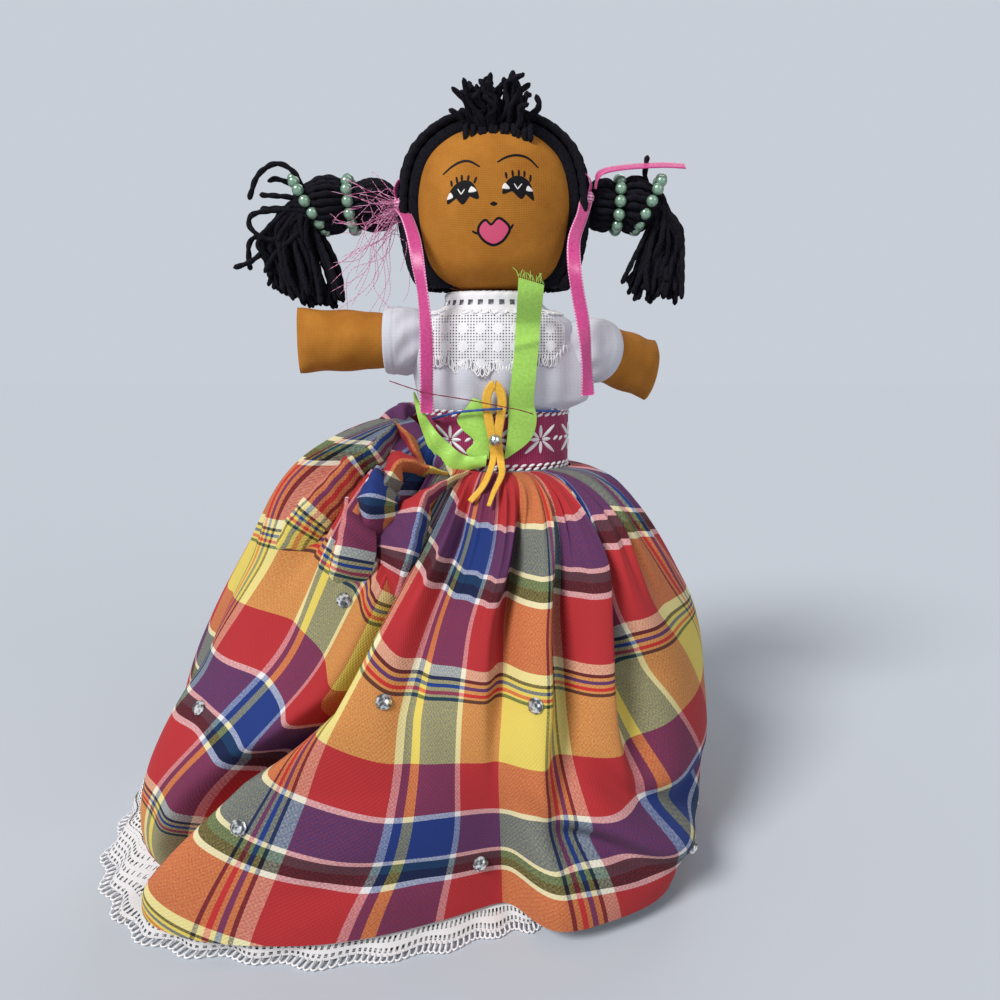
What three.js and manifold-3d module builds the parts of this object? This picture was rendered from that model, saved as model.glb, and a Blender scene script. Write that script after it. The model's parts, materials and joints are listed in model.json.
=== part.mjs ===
// A topsy-turvy rag doll: two half dolls sewn together at the waist, head up and head down, with one
// gathered skirt between them. The skirt hides the lower half; turned over, it hides the upper half.
// Millimetres, +Z up, the floor at z = 0. The upper half looks along -Y, and "left" is the -X side.
import * as THREE from "three";
import { mergeVertices } from "three/addons/utils/BufferGeometryUtils.js";
import Module from "manifold-3d";

const wasm = await Module();
wasm.setup();

// Body: sizes across are full widths, measured over the stuffed cloth
const WAIST_HEIGHT = 176;
const TORSO_LENGTH = 64;
const WAIST_WIDTH = 60;
const WAIST_DEPTH = 42;
const CHEST_WIDTH = 72;
const CHEST_DEPTH = 46;
const NECK_WIDTH = 38;
const NECK_DEPTH = 32;
const HEAD_LENGTH = 68;
const HEAD_WIDTH = 68;
const HEAD_DEPTH = 55;

// Arms: stuffed tubes with a ball-shaped root sewn to the side of the torso
const ARM_HEIGHT = 43;
const ARM_ROOT_RADIUS = 12;
const ARM_LENGTH = 40;
const ARM_WIDTH = 28;
const ARM_DEPTH = 25;
const ARM_DROOP = { upper_left: 0, upper_right: 20, lower_left: -70, lower_right: -70 };
const ARM_SWING = { upper_left: 0, upper_right: 45, lower_left: 0, lower_right: 0 };

// Clothes: cloth thickness, the clearance between pieces, and the layers over the torso
const CLOTH = 1.2;
const GAP = 0.3;
const BLOUSE_START = 4;
const SLEEVE_RADIUS = { upper: 16.5, lower: 14.8 };
const SLEEVE_LENGTH = 18;
const SLEEVE_CUFF = 5;
const NECK_BAND_HEIGHT = 7.5;
const COLLAR_WIDTH = 62;
const COLLAR_DROP = 19;
const COLLAR_SCALLOPS = 7;
const WAISTBAND_HEIGHT = 26;

// Hair: a thick yarn cap, a tuft over the forehead and two bound pigtails ending in tassels
const HAIR = 8.5;
const HAIR_LINE = 4.5;
const FACE_EDGE = 6;
const TUFT_HEIGHT = 13;
const TUFT_WIDTH = 40;
const TUFT_DEPTH = 17;
const TUFT_FORWARD = 7;
const PIGTAIL_HEIGHT = 38;
const PIGTAIL_BACK = 6;
const PIGTAIL_ROOT_RADIUS = 6;
const PIGTAIL_LENGTH = { left: 44, right: 34 };
const PIGTAIL_RADIUS = 11.5;
const PIGTAIL_NECK_RADIUS = 9;
const TASSEL_ABOVE_ARM = 1.5;
const TASSEL_WIDTH = 36;
const TASSEL_DEPTH = 17;
const TASSEL_LENGTH = TORSO_LENGTH + PIGTAIL_HEIGHT - ARM_HEIGHT - ARM_WIDTH / 2 - TASSEL_ABOVE_ARM;
const BEAD_RADIUS = 2.6;
const BEAD_THREAD_RADIUS = 0.6;

// Ribbons
const TIE_WIDTH = 4;
const TIE_KNOT_RADIUS = 2.8;
const PINK_RIBBON_WIDTH = 6.4;
const RIBBON_THICKNESS = 0.8;
const PINK_TAIL_LENGTH = { left: 84, right: 76 };
const GREEN_RIBBON_WIDTH = 12.7;
const GREEN_STRIP_LENGTH = 74;
const GREEN_STRIP_SIDE = 12.5;
const YELLOW_RIBBON_WIDTH = 3.2;
const YELLOW_LOOP_HEIGHT = 22;
const YELLOW_LOOP_WIDTH = 9;
const YELLOW_TAIL_LENGTH = 26;
const YELLOW_TAIL_OFF_SKIRT = 2;

// Skirts: the spread at the hem; then, by direction (0 right, 90 back, 180 left, 270 front), the reach as a share
// of the spread, how soon the cloth gets there (a small power is a puff, 1 a cone) and how far down it is fullest
const SKIRT_SPREAD = 120;
const SKIRT_PLAN = [
  { angle: 0, reach: 0.83, puff: 0.44, fullest: 0.74 },
  { angle: 45, reach: 0.84, puff: 0.5, fullest: 0.8 },
  { angle: 90, reach: 0.9, puff: 0.56, fullest: 0.86 },
  { angle: 135, reach: 1.08, puff: 0.62, fullest: 0.86 },
  { angle: 180, reach: 1.3, puff: 0.62, fullest: 0.86 },
  { angle: 205, reach: 1.4, puff: 0.62, fullest: 0.88 },
  { angle: 223, reach: 1.38, puff: 0.86, fullest: 0.98 },
  { angle: 238, reach: 1.24, puff: 0.86, fullest: 1 },
  { angle: 254, reach: 1.09, puff: 0.74, fullest: 1 },
  { angle: 270, reach: 0.95, puff: 0.56, fullest: 0.98 },
  { angle: 284, reach: 0.89, puff: 0.5, fullest: 0.92 },
  { angle: 298, reach: 0.88, puff: 0.48, fullest: 0.88 },
  { angle: 312, reach: 0.9, puff: 0.46, fullest: 0.8 },
  { angle: 336, reach: 0.86, puff: 0.42, fullest: 0.74 },
];

// Folds: lines from the waist to the hem along the crests and valleys of the cloth. Each has its direction at the
// waist, a quarter and half of the way down and at the hem, and how far it stands out of the bell there.
const FOLD_SHARES = [0.04, 0.25, 0.5, 0.9];
const FOLDS = [
  { angles: [102, 103, 105, 108], out: [0, -2, -4, -3] },
  { angles: [121, 121, 121, 121], out: [0, 4, 7, 4] },
  { angles: [137, 135, 134, 133], out: [0, -3, -7, -6] },
  { angles: [158, 155, 153, 152], out: [0, 3, 6, 5] },
  { angles: [177, 174, 172, 171], out: [0, -3, -7, -6] },
  { angles: [194, 188, 186, 184], out: [2, 2, 5, 4] },
  { angles: [201, 200, 200, 196], out: [3, 0, -4, -3] },
  { angles: [208, 208, 212, 206], out: [5, 2, 2, 7] },
  { angles: [213, 214, 218, 210], out: [-6, -7, 1, 3] },
  { angles: [220, 221, 224, 213], out: [5, 6, 0, -9] },
  { angles: [227, 229, 230, 215], out: [-6, -3, -10, -15] },
  { angles: [232, 237, 235, 217], out: [-2, -9, -21, -18] },
  { angles: [238, 243, 240, 222], out: [0, 5, 10, 8] },
  { angles: [247, 248, 246, 233], out: [-1, 0, 5, 3] },
  { angles: [257, 254, 253, 245], out: [-2, -4, 1, -1] },
  { angles: [269, 263, 262, 257], out: [1, 2, 2, -2] },
  { angles: [281, 271, 267, 264], out: [1, 6, 1, -1] },
  { angles: [286, 276, 272, 271], out: [0, -3, 0, 0] },
  { angles: [296, 285, 282, 279], out: [1, 8, 7, 0] },
  { angles: [299, 289, 286, 287], out: [0, -2, -3, -2] },
  { angles: [308, 300, 297, 297], out: [2, 10, 5, -4] },
  { angles: [311, 304, 304, 304], out: [-1, -9, -6, -4] },
  { angles: [319, 313, 322, 317], out: [2, 5, 2, 0] },
  { angles: [330, 328, 340, 335], out: [1, 2, 1, -1] },
  { angles: [342, 347, 362, 376], out: [1, 3, 6, 4] },
  { angles: [358, 364, 380, 391], out: [0, -2, -6, -5] },
  { angles: [381, 392, 404, 409], out: [0, 4, 6, 3] },
  { angles: [403, 411, 420, 424], out: [0, -2, -6, -6] },
  { angles: [432, 437, 443, 446], out: [0, 3, 6, 4] },
];
const BUNCH_ANGLE = 203;
const BUNCH_SPREAD = 27;
const BUNCH_RISE = 24;
const BUNCH_OUT = 9;
const PLAID_HEM_HEIGHT = 7;
const SKIRT_LAYER_GAP = 3.2;
const HEM_LACE_HEIGHT = 13;
const HEM_LACE_LIFT = 0.8;
const SKIRT_LEVELS = [0.05, 0.14, 0.27, 0.42, 0.6, 0.78];

// Rhinestones: diameter, height, and where each one is glued (degrees round the skirt, height)
const STONE_DIAMETER = 6;
const STONE_HEIGHT = 2.4;
const STONES = [
  { angle: 203, height: 64 },
  { angle: 230, height: 48 },
  { angle: 227, height: 116 },
  { angle: 247, height: 89 },
  { angle: 280, height: 88 },
  { angle: 267, height: 24 },
  { angle: 316, height: 20 },
];

// Cloth, yarn and trim colours
const finish = (color, roughness, metalness = 0) =>
  new THREE.MeshStandardMaterial({ color, roughness, metalness });
const BROWN_COTTON = finish(0xb0691f, 0.9);
const BLACK_YARN = finish(0x17161a, 0.95);
const WHITE_COTTON = finish(0xe4e2e6, 0.9);
const WHITE_LACE = finish(0xdedcdc, 0.9);
const WOVEN_BAND = finish(0x9c1f4c, 0.85);
const PLAID_COTTON = finish(0xb5302c, 0.85);
const PINK_SATIN = finish(0xd23a86, 0.45);
const GREEN_SATIN = finish(0x9ad04c, 0.5);
const YELLOW_SATIN = finish(0xe2a822, 0.5);
const PEARL = finish(0x86a98a, 0.25, 0.3);
const RHINESTONE = finish(0xd8dada, 0.08, 0.6);

// Geometry helpers
const vec = (x, y, z) => new THREE.Vector3(x, y, z);
const radians = THREE.MathUtils.degToRad;

function geometryOf(points, faces) {
  const geometry = new THREE.BufferGeometry().setFromPoints(points);
  geometry.setIndex(faces);
  return geometry;
}

function signedVolume(points, faces) {
  let sum = 0;
  for (let i = 0; i < faces.length; i += 3) {
    const [a, b, c] = [points[faces[i]], points[faces[i + 1]], points[faces[i + 2]]];
    sum += a.dot(vec().crossVectors(b, c));
  }
  return sum / 6;
}

// A closed skin over rings of points. A wall joins its last ring to its first; otherwise both ends are capped.
// Quads are split the same way whether the rings climb or fall, so parallel layers never cross.
function skin(rings, isWall = false) {
  const count = rings[0].length;
  const points = rings.flat();
  const faces = [];
  const spans = isWall ? rings.length : rings.length - 1;
  for (let i = 0; i < spans; i++) {
    const here = i * count;
    const next = ((i + 1) % rings.length) * count;
    const isClimbing = points[next].z >= points[here].z;
    for (let j = 0; j < count; j++) {
      const k = (j + 1) % count;
      if (isClimbing) faces.push(here + j, here + k, next + k, here + j, next + k, next + j);
      else faces.push(here + j, here + k, next + j, here + k, next + k, next + j);
    }
  }
  if (!isWall) {
    const cap = (first, isEnd) => {
      const middle = vec(0, 0, 0);
      for (let j = 0; j < count; j++) middle.addScaledVector(points[first + j], 1 / count);
      points.push(middle);
      for (let j = 0; j < count; j++) {
        const edge = [first + j, first + ((j + 1) % count)];
        faces.push(points.length - 1, ...(isEnd ? edge : edge.reverse()));
      }
    };
    cap(0, false);
    cap((rings.length - 1) * count, true);
  }
  return geometryOf(points, signedVolume(points, faces) < 0 ? faces.reverse() : faces);
}

function solidOf(geometry) {
  const bare = geometry.clone();
  for (const name of Object.keys(bare.attributes)) if (name !== "position") bare.deleteAttribute(name);
  const merged = mergeVertices(bare, 1e-4);
  return new wasm.Manifold(
    new wasm.Mesh({
      numProp: 3,
      vertProperties: merged.attributes.position.array,
      triVerts: new Uint32Array(merged.index.array),
    }),
  );
}

function geometryOfSolid(solid) {
  const mesh = solid.getMesh();
  const positions = new Float32Array(mesh.numVert * 3);
  for (let i = 0; i < mesh.numVert; i++) {
    positions.set(mesh.vertProperties.subarray(i * mesh.numProp, i * mesh.numProp + 3), i * 3);
  }
  const geometry = new THREE.BufferGeometry();
  geometry.setAttribute("position", new THREE.BufferAttribute(positions, 3));
  geometry.setIndex(new THREE.BufferAttribute(new Uint32Array(mesh.triVerts), 1));
  return geometry;
}

const cut = (geometry, ...tools) =>
  geometryOfSolid(tools.reduce((rest, tool) => rest.subtract(solidOf(tool)), solidOf(geometry)));
const join = (...pieces) =>
  geometryOfSolid(pieces.map(solidOf).reduce((whole, piece) => whole.add(piece)));
const overlapOf = (a, b) => geometryOfSolid(solidOf(a).intersect(solidOf(b)));

function addMesh(parent, name, geometry, material) {
  const mesh = new THREE.Mesh(geometry, material);
  mesh.name = name;
  parent.add(mesh);
  return mesh;
}

// A stuffed form along +Z: stations of [half-width, half-depth, height] on a smooth curve, cut into levels.
// Every layer over a form uses the form's own levels and segments, so its faces stay parallel to it.
const FORM_SEGMENTS = 20;

function stuffedForm(stations, levelCount, segments, isDomed) {
  const curve = new THREE.CatmullRomCurve3(stations.map((s) => vec(...s)), false, "centripetal");
  const low = stations[0][2];
  const high = stations.at(-1)[2];
  const onCurve = (height) => {
    let [start, end] = [0, 1];
    for (let i = 0; i < 40; i++) {
      const middle = (start + end) / 2;
      if (curve.getPoint(middle).z < height) start = middle;
      else end = middle;
    }
    return curve.getPoint((start + end) / 2);
  };
  const levels = Array.from({ length: levelCount + 1 }, (_, i) => {
    const share = isDomed ? (1 - Math.cos((Math.PI * i) / levelCount)) / 2 : i / levelCount;
    return onCurve(low + (high - low) * share).setZ(low + (high - low) * share);
  });
  const at = (height) => {
    const last = levels.length - 2;
    const found = levels.findIndex((level, i) => i <= last && height <= levels[i + 1].z);
    const [below, above] = [levels[found < 0 ? last : found], levels[(found < 0 ? last : found) + 1]];
    return below.clone().lerp(above, (height - below.z) / (above.z - below.z));
  };
  const ring = (height, margin) => {
    const size = at(height);
    return Array.from({ length: segments }, (_, j) => {
      const turn = (2 * Math.PI * j) / segments;
      return vec((size.x + margin) * Math.cos(turn), (size.y + margin) * Math.sin(turn), height);
    });
  };
  const heightsFrom = (from, to) => [
    from,
    ...levels.map((level) => level.z).filter((z) => z > from + GAP && z < to - GAP),
    to,
  ];
  const body = (margin = 0) => skin(levels.map((level) => ring(level.z, margin)));
  const shell = (from, to, inner, outer) => {
    const heights = heightsFrom(from, to);
    return skin(
      [...heights.map((z) => ring(z, outer)), ...heights.toReversed().map((z) => ring(z, inner))],
      true,
    );
  };
  return { at, ring, heightsFrom, body, shell, low, high };
}

// A strip of ribbon along a path, lying across one direction.
function ribbon(path, across, width, thickness) {
  const rings = path.map((point, i) => {
    const ahead = path[Math.min(i + 1, path.length - 1)];
    const behind = path[Math.max(i - 1, 0)];
    const along = vec().subVectors(ahead, behind).normalize();
    const side = across.clone().addScaledVector(along, -across.dot(along)).normalize();
    const face = vec().crossVectors(along, side);
    return [[-1, -1], [1, -1], [1, 1], [-1, 1]].map(([s, f]) =>
      point
        .clone()
        .addScaledVector(side, (s * width) / 2)
        .addScaledVector(face, (f * thickness) / 2),
    );
  });
  return skin(rings);
}

// Forms that both halves share, in a frame with z = 0 at the waist and the head towards +Z
const SIDES = { left: -1, right: 1 };
const BLOUSE_OUTER = GAP + CLOTH;
const TRIM_INNER = BLOUSE_OUTER + GAP;
const TRIM_OUTER = TRIM_INNER + CLOTH;

const torsoForm = stuffedForm([
  [WAIST_WIDTH / 2, WAIST_DEPTH / 2, GAP / 2],
  [WAIST_WIDTH / 2 + 1, WAIST_DEPTH / 2 + 0.5, TORSO_LENGTH * 0.2],
  [CHEST_WIDTH / 2 - 1.5, CHEST_DEPTH / 2 - 0.5, TORSO_LENGTH * 0.44],
  [CHEST_WIDTH / 2, CHEST_DEPTH / 2, TORSO_LENGTH * 0.66],
  [CHEST_WIDTH / 2 - 3, CHEST_DEPTH / 2 - 2.5, TORSO_LENGTH * 0.81],
  [NECK_WIDTH / 2 + 1.5, NECK_DEPTH / 2 + 1, TORSO_LENGTH * 0.9],
  [NECK_WIDTH / 2, NECK_DEPTH / 2, TORSO_LENGTH],
], 8, FORM_SEGMENTS, false);

// Head and hair cap: the same egg, the cap grown by the yarn's thickness
const headStations = (margin) =>
  [
    [0.3, 0.32, 0],
    [0.62, 0.62, 0.03],
    [0.86, 0.88, 0.15],
    [0.985, 0.985, 0.38],
    [1, 1, 0.6],
    [0.88, 0.9, 0.8],
    [0.6, 0.62, 0.935],
    [0.25, 0.26, 1],
  ].map(([width, depth, height]) => [
    (HEAD_WIDTH / 2 + margin) * width,
    (HEAD_DEPTH / 2 + margin) * depth,
    (HEAD_LENGTH + 2 * margin) * height - margin,
  ]);
const eggForm = (margin) => stuffedForm(headStations(margin), 10, FORM_SEGMENTS, true);
const headForm = eggForm(0);
const capInside = eggForm(GAP);
const capOutside = eggForm(GAP + HAIR);

const armForm = stuffedForm([
  ...[-1, -0.94, -0.75, -0.4, 0].map((share) => {
    const radius = ARM_ROOT_RADIUS * Math.max(Math.sqrt(1 - share * share), 0.12);
    return [radius, radius, ARM_ROOT_RADIUS * share];
  }),
  [ARM_WIDTH / 2 - 0.4, ARM_DEPTH / 2 - 0.2, ARM_LENGTH * 0.3],
  [ARM_WIDTH / 2, ARM_DEPTH / 2, ARM_LENGTH * 0.65],
  [ARM_WIDTH / 2 - 0.3, ARM_DEPTH / 2 - 0.5, ARM_LENGTH - 2.5],
  [ARM_WIDTH / 2 - 2.5, ARM_DEPTH / 2 - 2.5, ARM_LENGTH],
], 11, 12, false);
const SHOULDER_X = torsoForm.at(ARM_HEIGHT).x + GAP + ARM_ROOT_RADIUS;

// Torso, blouse, neck band and lace collar of one half
function addBody(half, name) {
  addMesh(half, `torso_${name}`, torsoForm.body(), BROWN_COTTON);

  const blouse = torsoForm.shell(BLOUSE_START, TORSO_LENGTH - 2, GAP, BLOUSE_OUTER);
  const armholes = Object.values(SIDES).map((side) =>
    new THREE.SphereGeometry(ARM_ROOT_RADIUS + 4 * GAP, 10, 8).translate(side * SHOULDER_X, 0, ARM_HEIGHT),
  );
  addMesh(half, `blouse_${name}`, cut(blouse, ...armholes), WHITE_COTTON);

  const bandBottom = TORSO_LENGTH - NECK_BAND_HEIGHT + GAP;
  const band = torsoForm.shell(bandBottom, TORSO_LENGTH, TRIM_INNER, TRIM_OUTER);
  addMesh(half, `neck_band_${name}`, band, WHITE_LACE);

  const collarTop = bandBottom - GAP;
  const layerBottom = collarTop - COLLAR_DROP - COLLAR_WIDTH / 4;
  const layer = torsoForm.shell(layerBottom, collarTop, TRIM_INNER, TRIM_OUTER);
  const outline = new THREE.Shape();
  const scallop = COLLAR_WIDTH / COLLAR_SCALLOPS;
  const edge = (x) => collarTop - COLLAR_DROP + 9 * (x / (COLLAR_WIDTH / 2)) ** 2;
  outline.moveTo(-COLLAR_WIDTH / 2, collarTop + 1);
  for (let i = 0; i < COLLAR_SCALLOPS; i++) {
    const x = -COLLAR_WIDTH / 2 + i * scallop;
    outline.lineTo(x, edge(x));
    outline.quadraticCurveTo(x + scallop / 2, edge(x + scallop / 2) - scallop, x + scallop, edge(x + scallop));
  }
  outline.lineTo(COLLAR_WIDTH / 2, collarTop + 1);
  const bib = new THREE.ExtrudeGeometry(outline, { depth: 2 * CHEST_DEPTH, bevelEnabled: false, curveSegments: 3 });
  bib.translate(0, 0, -CHEST_DEPTH).rotateX(Math.PI / 2);
  addMesh(half, `lace_collar_${name}`, overlapOf(layer, bib), WHITE_LACE);
}

// One arm with its short sleeve, turned about the ball at its root. The lower half is upside down, so its
// own sides are the other way round.
function addArm(half, name, sideName) {
  const side = name === "upper" ? SIDES[sideName] : -SIDES[sideName];
  const shoulder = new THREE.Group();
  shoulder.position.set(side * SHOULDER_X, 0, ARM_HEIGHT);
  shoulder.rotation.order = "ZYX";
  const key = `${name}_${sideName}`;
  shoulder.rotation.y = side * (Math.PI / 2 + radians(ARM_DROOP[key]));
  shoulder.rotation.z = side * radians(ARM_SWING[key]);
  shoulder.updateMatrix();
  half.add(shoulder);
  addMesh(shoulder, `arm_${key}`, armForm.body(), BROWN_COTTON);

  const inner = SLEEVE_CUFF - SLEEVE_LENGTH;
  const puff = SLEEVE_RADIUS[name];
  const profile = [
    [puff - 3.2, inner],
    [puff - 0.4, inner * 0.45],
    [puff, 0],
    [puff - 0.8, SLEEVE_CUFF],
  ];
  const wall = [
    ...profile.map(([r, z]) => new THREE.Vector2(r, z)),
    ...profile.toReversed().map(([r, z]) => new THREE.Vector2(r - CLOTH, z)),
  ];
  const sleeve = new THREE.LatheGeometry([...wall, wall[0].clone()], 16).rotateX(Math.PI / 2);
  if (solidOf(sleeve).volume() < 0) sleeve.index.array.reverse();
  const blouseSpace = torsoForm.body(BLOUSE_OUTER + GAP).applyMatrix4(shoulder.matrix.clone().invert());
  addMesh(shoulder, `sleeve_${key}`, cut(sleeve, blouseSpace), WHITE_COTTON);
}

// Head and hair cap; the cap leaves the face open and stops above the neck
function addHead(half, name) {
  const head = new THREE.Group();
  head.position.z = TORSO_LENGTH + GAP;
  half.add(head);
  addMesh(head, `head_${name}`, headForm.body(), BROWN_COTTON);

  const reach = HEAD_WIDTH + 2 * HAIR;
  const below = new THREE.BoxGeometry(reach, reach, reach).translate(0, 0, HAIR_LINE - reach / 2);
  const opening = new THREE.Shape();
  const faceHalf = HEAD_WIDTH / 2 - 2;
  const faceTop = HEAD_LENGTH - 3;
  opening.moveTo(-faceHalf * 0.8, -reach);
  opening.lineTo(-faceHalf * 0.8, HAIR_LINE);
  opening.quadraticCurveTo(-faceHalf, HEAD_LENGTH * 0.25, -faceHalf, HEAD_LENGTH * 0.5);
  opening.quadraticCurveTo(-faceHalf, faceTop, 0, faceTop);
  opening.quadraticCurveTo(faceHalf, faceTop, faceHalf, HEAD_LENGTH * 0.5);
  opening.quadraticCurveTo(faceHalf, HEAD_LENGTH * 0.25, faceHalf * 0.8, HAIR_LINE);
  opening.lineTo(faceHalf * 0.8, -reach);
  const face = new THREE.ExtrudeGeometry(opening, { depth: reach, bevelEnabled: false, curveSegments: 4 });
  face.rotateX(Math.PI / 2).translate(0, -FACE_EDGE, 0);
  const cap = cut(capOutside.body(), capInside.body(), below, face);
  addMesh(head, `hair_cap_${name}`, cap, BLACK_YARN);
  return head;
}

// Tuft of yarn ends that stands over the forehead, spreading upwards
function addTuft(head) {
  const top = capOutside.high;
  const foot = top - HAIR;
  const tuftForm = stuffedForm([
    [TUFT_WIDTH * 0.42, TUFT_DEPTH * 0.45, foot],
    [TUFT_WIDTH * 0.45, TUFT_DEPTH * 0.5, foot + HAIR],
    [TUFT_WIDTH * 0.5, TUFT_DEPTH * 0.46, foot + HAIR + TUFT_HEIGHT * 0.6],
    [TUFT_WIDTH * 0.38, TUFT_DEPTH * 0.25, foot + HAIR + TUFT_HEIGHT],
  ], 5, 14, false);
  const tuft = tuftForm.body().translate(0, -TUFT_FORWARD, 0);
  addMesh(head, "hair_tuft", cut(tuft, eggForm(2 * GAP + HAIR).body()), BLACK_YARN);
}

// Pigtail along +Z with its bead strings at the necks
const pigtailForm = (margin, length) => stuffedForm([
  ...[-1, -0.9, -0.6, 0].map((share) => {
    const radius = (PIGTAIL_ROOT_RADIUS + margin) * Math.max(Math.sqrt(1 - share * share), 0.15);
    return [radius, radius, (PIGTAIL_ROOT_RADIUS + margin) * share];
  }),
  ...[
    [PIGTAIL_ROOT_RADIUS + 0.6, 0.1],
    [PIGTAIL_RADIUS - 0.5, 0.3],
    [PIGTAIL_NECK_RADIUS, 0.5],
    [PIGTAIL_RADIUS, 0.69],
    [PIGTAIL_NECK_RADIUS - 0.5, 0.88],
    [PIGTAIL_NECK_RADIUS - 2, 1],
  ].map(([radius, share]) => [radius + margin, radius + margin, length * share + (share === 1 ? margin : 0)]),
], 14, 12, false);
const BEAD_PLACES = [0.5, 0.88];
const BEAD_SIDES = 5;

// Beads strung close together on their thread: one skin whose tube swells at each bead
function beadString(neckRadius) {
  const ringRadius = neckRadius + GAP + BEAD_RADIUS;
  const count = Math.floor((2 * Math.PI * ringRadius) / (2 * BEAD_RADIUS + 0.4));
  const swell = [
    [-1, BEAD_THREAD_RADIUS],
    [-0.45, BEAD_RADIUS],
    [0.45, BEAD_RADIUS],
    [1, BEAD_THREAD_RADIUS],
  ];
  const rings = [];
  for (let i = 0; i < count; i++) {
    for (const [along, radius] of swell) {
      const turn = (2 * Math.PI * i) / count + (along * BEAD_RADIUS) / ringRadius;
      const ring = Array.from({ length: BEAD_SIDES }, (_, j) => {
        const roll = (2 * Math.PI * j) / BEAD_SIDES;
        const out = ringRadius + radius * Math.cos(roll);
        return vec(out * Math.cos(turn), out * Math.sin(turn), radius * Math.sin(roll));
      });
      rings.push(ring);
    }
  }
  return skin(rings, true);
}

function addPigtail(head, sideName) {
  const side = SIDES[sideName];
  const capSize = capOutside.at(PIGTAIL_HEIGHT);
  const capSide = capSize.x * Math.sqrt(1 - (PIGTAIL_BACK / capSize.y) ** 2);
  const pivot = new THREE.Group();
  pivot.position.set(side * (capSide + GAP + PIGTAIL_ROOT_RADIUS), PIGTAIL_BACK, PIGTAIL_HEIGHT);
  head.add(pivot);
  const outwards = (geometry) => geometry.rotateY((side * Math.PI) / 2);

  const length = PIGTAIL_LENGTH[sideName];
  const form = pigtailForm(0, length);
  addMesh(pivot, `pigtail_${sideName}`, outwards(form.body()), BLACK_YARN);

  BEAD_PLACES.forEach((place, i) => {
    const along = length * place;
    const string = beadString(form.at(along).x).translate(0, 0, along);
    addMesh(pivot, `bead_string_${sideName}_${i + 1}`, outwards(string), PEARL);
  });

  // The tassel grips the pigtail's end and hangs below it, clear of the outer bead string
  const half = [TASSEL_WIDTH / 2, TASSEL_DEPTH / 2];
  const tasselForm = stuffedForm([
    [half[0] * 0.6, half[1] * 0.9, -TASSEL_LENGTH],
    [half[0] * 0.95, half[1], -TASSEL_LENGTH * 0.85],
    [half[0] * 0.85, half[1], -TASSEL_LENGTH * 0.45],
    [half[0] * 0.6, half[1] * 0.95, -TASSEL_LENGTH * 0.1],
    [half[0] * 0.32, half[1] * 0.7, PIGTAIL_NECK_RADIUS],
  ], 8, 14, false);
  const tassel = tasselForm.body().translate(side * (length + 2), 0, 0);
  const outerString = length * BEAD_PLACES[1];
  const stringReach = form.at(outerString).x + 2 * BEAD_RADIUS + 2 * GAP;
  const clearance = new THREE.CylinderGeometry(stringReach, stringReach, outerString, 24)
    .rotateX(Math.PI / 2)
    .translate(0, 0, outerString / 2 + BEAD_RADIUS + GAP);
  const grip = pigtailForm(GAP, length).body();
  addMesh(pivot, `tassel_${sideName}`, cut(tassel, outwards(clearance), outwards(grip)), BLACK_YARN);

  addRibbonTie(head, pivot, sideName, form);
}

// Pink ribbon: a band knotted round the pigtail's root and a tail that hangs down the blouse
function addRibbonTie(head, pivot, sideName, form) {
  const side = SIDES[sideName];
  const start = PIGTAIL_ROOT_RADIUS * 0.1;
  const bandInner = Math.max(form.at(start).x, form.at(start + TIE_WIDTH).x) + GAP;
  const band = new THREE.LatheGeometry(
    [
      [bandInner, start],
      [bandInner + CLOTH, start],
      [bandInner + CLOTH, start + TIE_WIDTH],
      [bandInner, start + TIE_WIDTH],
      [bandInner, start],
    ].map(([r, z]) => new THREE.Vector2(r, z)),
    12,
  ).rotateX(Math.PI / 2);
  if (solidOf(band).volume() < 0) band.index.array.reverse();
  band.rotateY((side * Math.PI) / 2);
  const knotAt = vec(side * (start + TIE_WIDTH / 2), -bandInner - TIE_KNOT_RADIUS, 0);
  const knot = new THREE.SphereGeometry(TIE_KNOT_RADIUS, 8, 6).translate(...knotAt);
  addMesh(pivot, `ribbon_tie_${sideName}`, join(band, knot), PINK_SATIN);

  // The tail leaves the bottom of the knot and slants in over the front of the chest
  const knotInHead = knotAt.clone().add(pivot.position);
  const top = knotInHead.clone().add(vec(0, 0, -TIE_KNOT_RADIUS - GAP));
  const length = PINK_TAIL_LENGTH[sideName];
  const chestX = side * (COLLAR_WIDTH / 2 + 1.5);
  const chestY = -CHEST_DEPTH / 2 - TRIM_OUTER + 3;
  const tail = new THREE.CatmullRomCurve3([
    top,
    vec(top.x, top.y - 1, top.z - 3),
    vec((top.x + chestX) / 2, (top.y + chestY) / 2 - 2, top.z - length * 0.3),
    vec(chestX, chestY, top.z - length * 0.55),
    vec(chestX - side * 1.5, chestY, top.z - length),
  ]).getPoints(12);
  addMesh(head, `ribbon_tail_${sideName}`, ribbon(tail, vec(1, 0, 0), PINK_RIBBON_WIDTH, RIBBON_THICKNESS), PINK_SATIN);
}

// Waistband over the seam where the two halves meet, from the doll's own frame
const WAISTBAND_BOTTOM = WAIST_HEIGHT - WAISTBAND_HEIGHT / 2;
const WAISTBAND_TOP = WAIST_HEIGHT + WAISTBAND_HEIGHT / 2;
const BAND_HALF = [WAIST_WIDTH / 2 + 1 + TRIM_OUTER, WAIST_DEPTH / 2 + 0.5 + TRIM_OUTER];

function addWaistband(doll) {
  const above = torsoForm.heightsFrom(GAP / 2, WAISTBAND_HEIGHT / 2);
  const levels = [...above.toReversed().map((z) => -z), ...above];
  const ring = (level, margin) =>
    torsoForm.ring(Math.abs(level), margin).map((p) => p.setZ(WAIST_HEIGHT + level));
  const wall = [
    ...levels.map((level) => ring(level, TRIM_OUTER)),
    ...levels.toReversed().map((level) => ring(level, TRIM_INNER)),
  ];
  addMesh(doll, "waistband", skin(wall, true), WOVEN_BAND);
}

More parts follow.
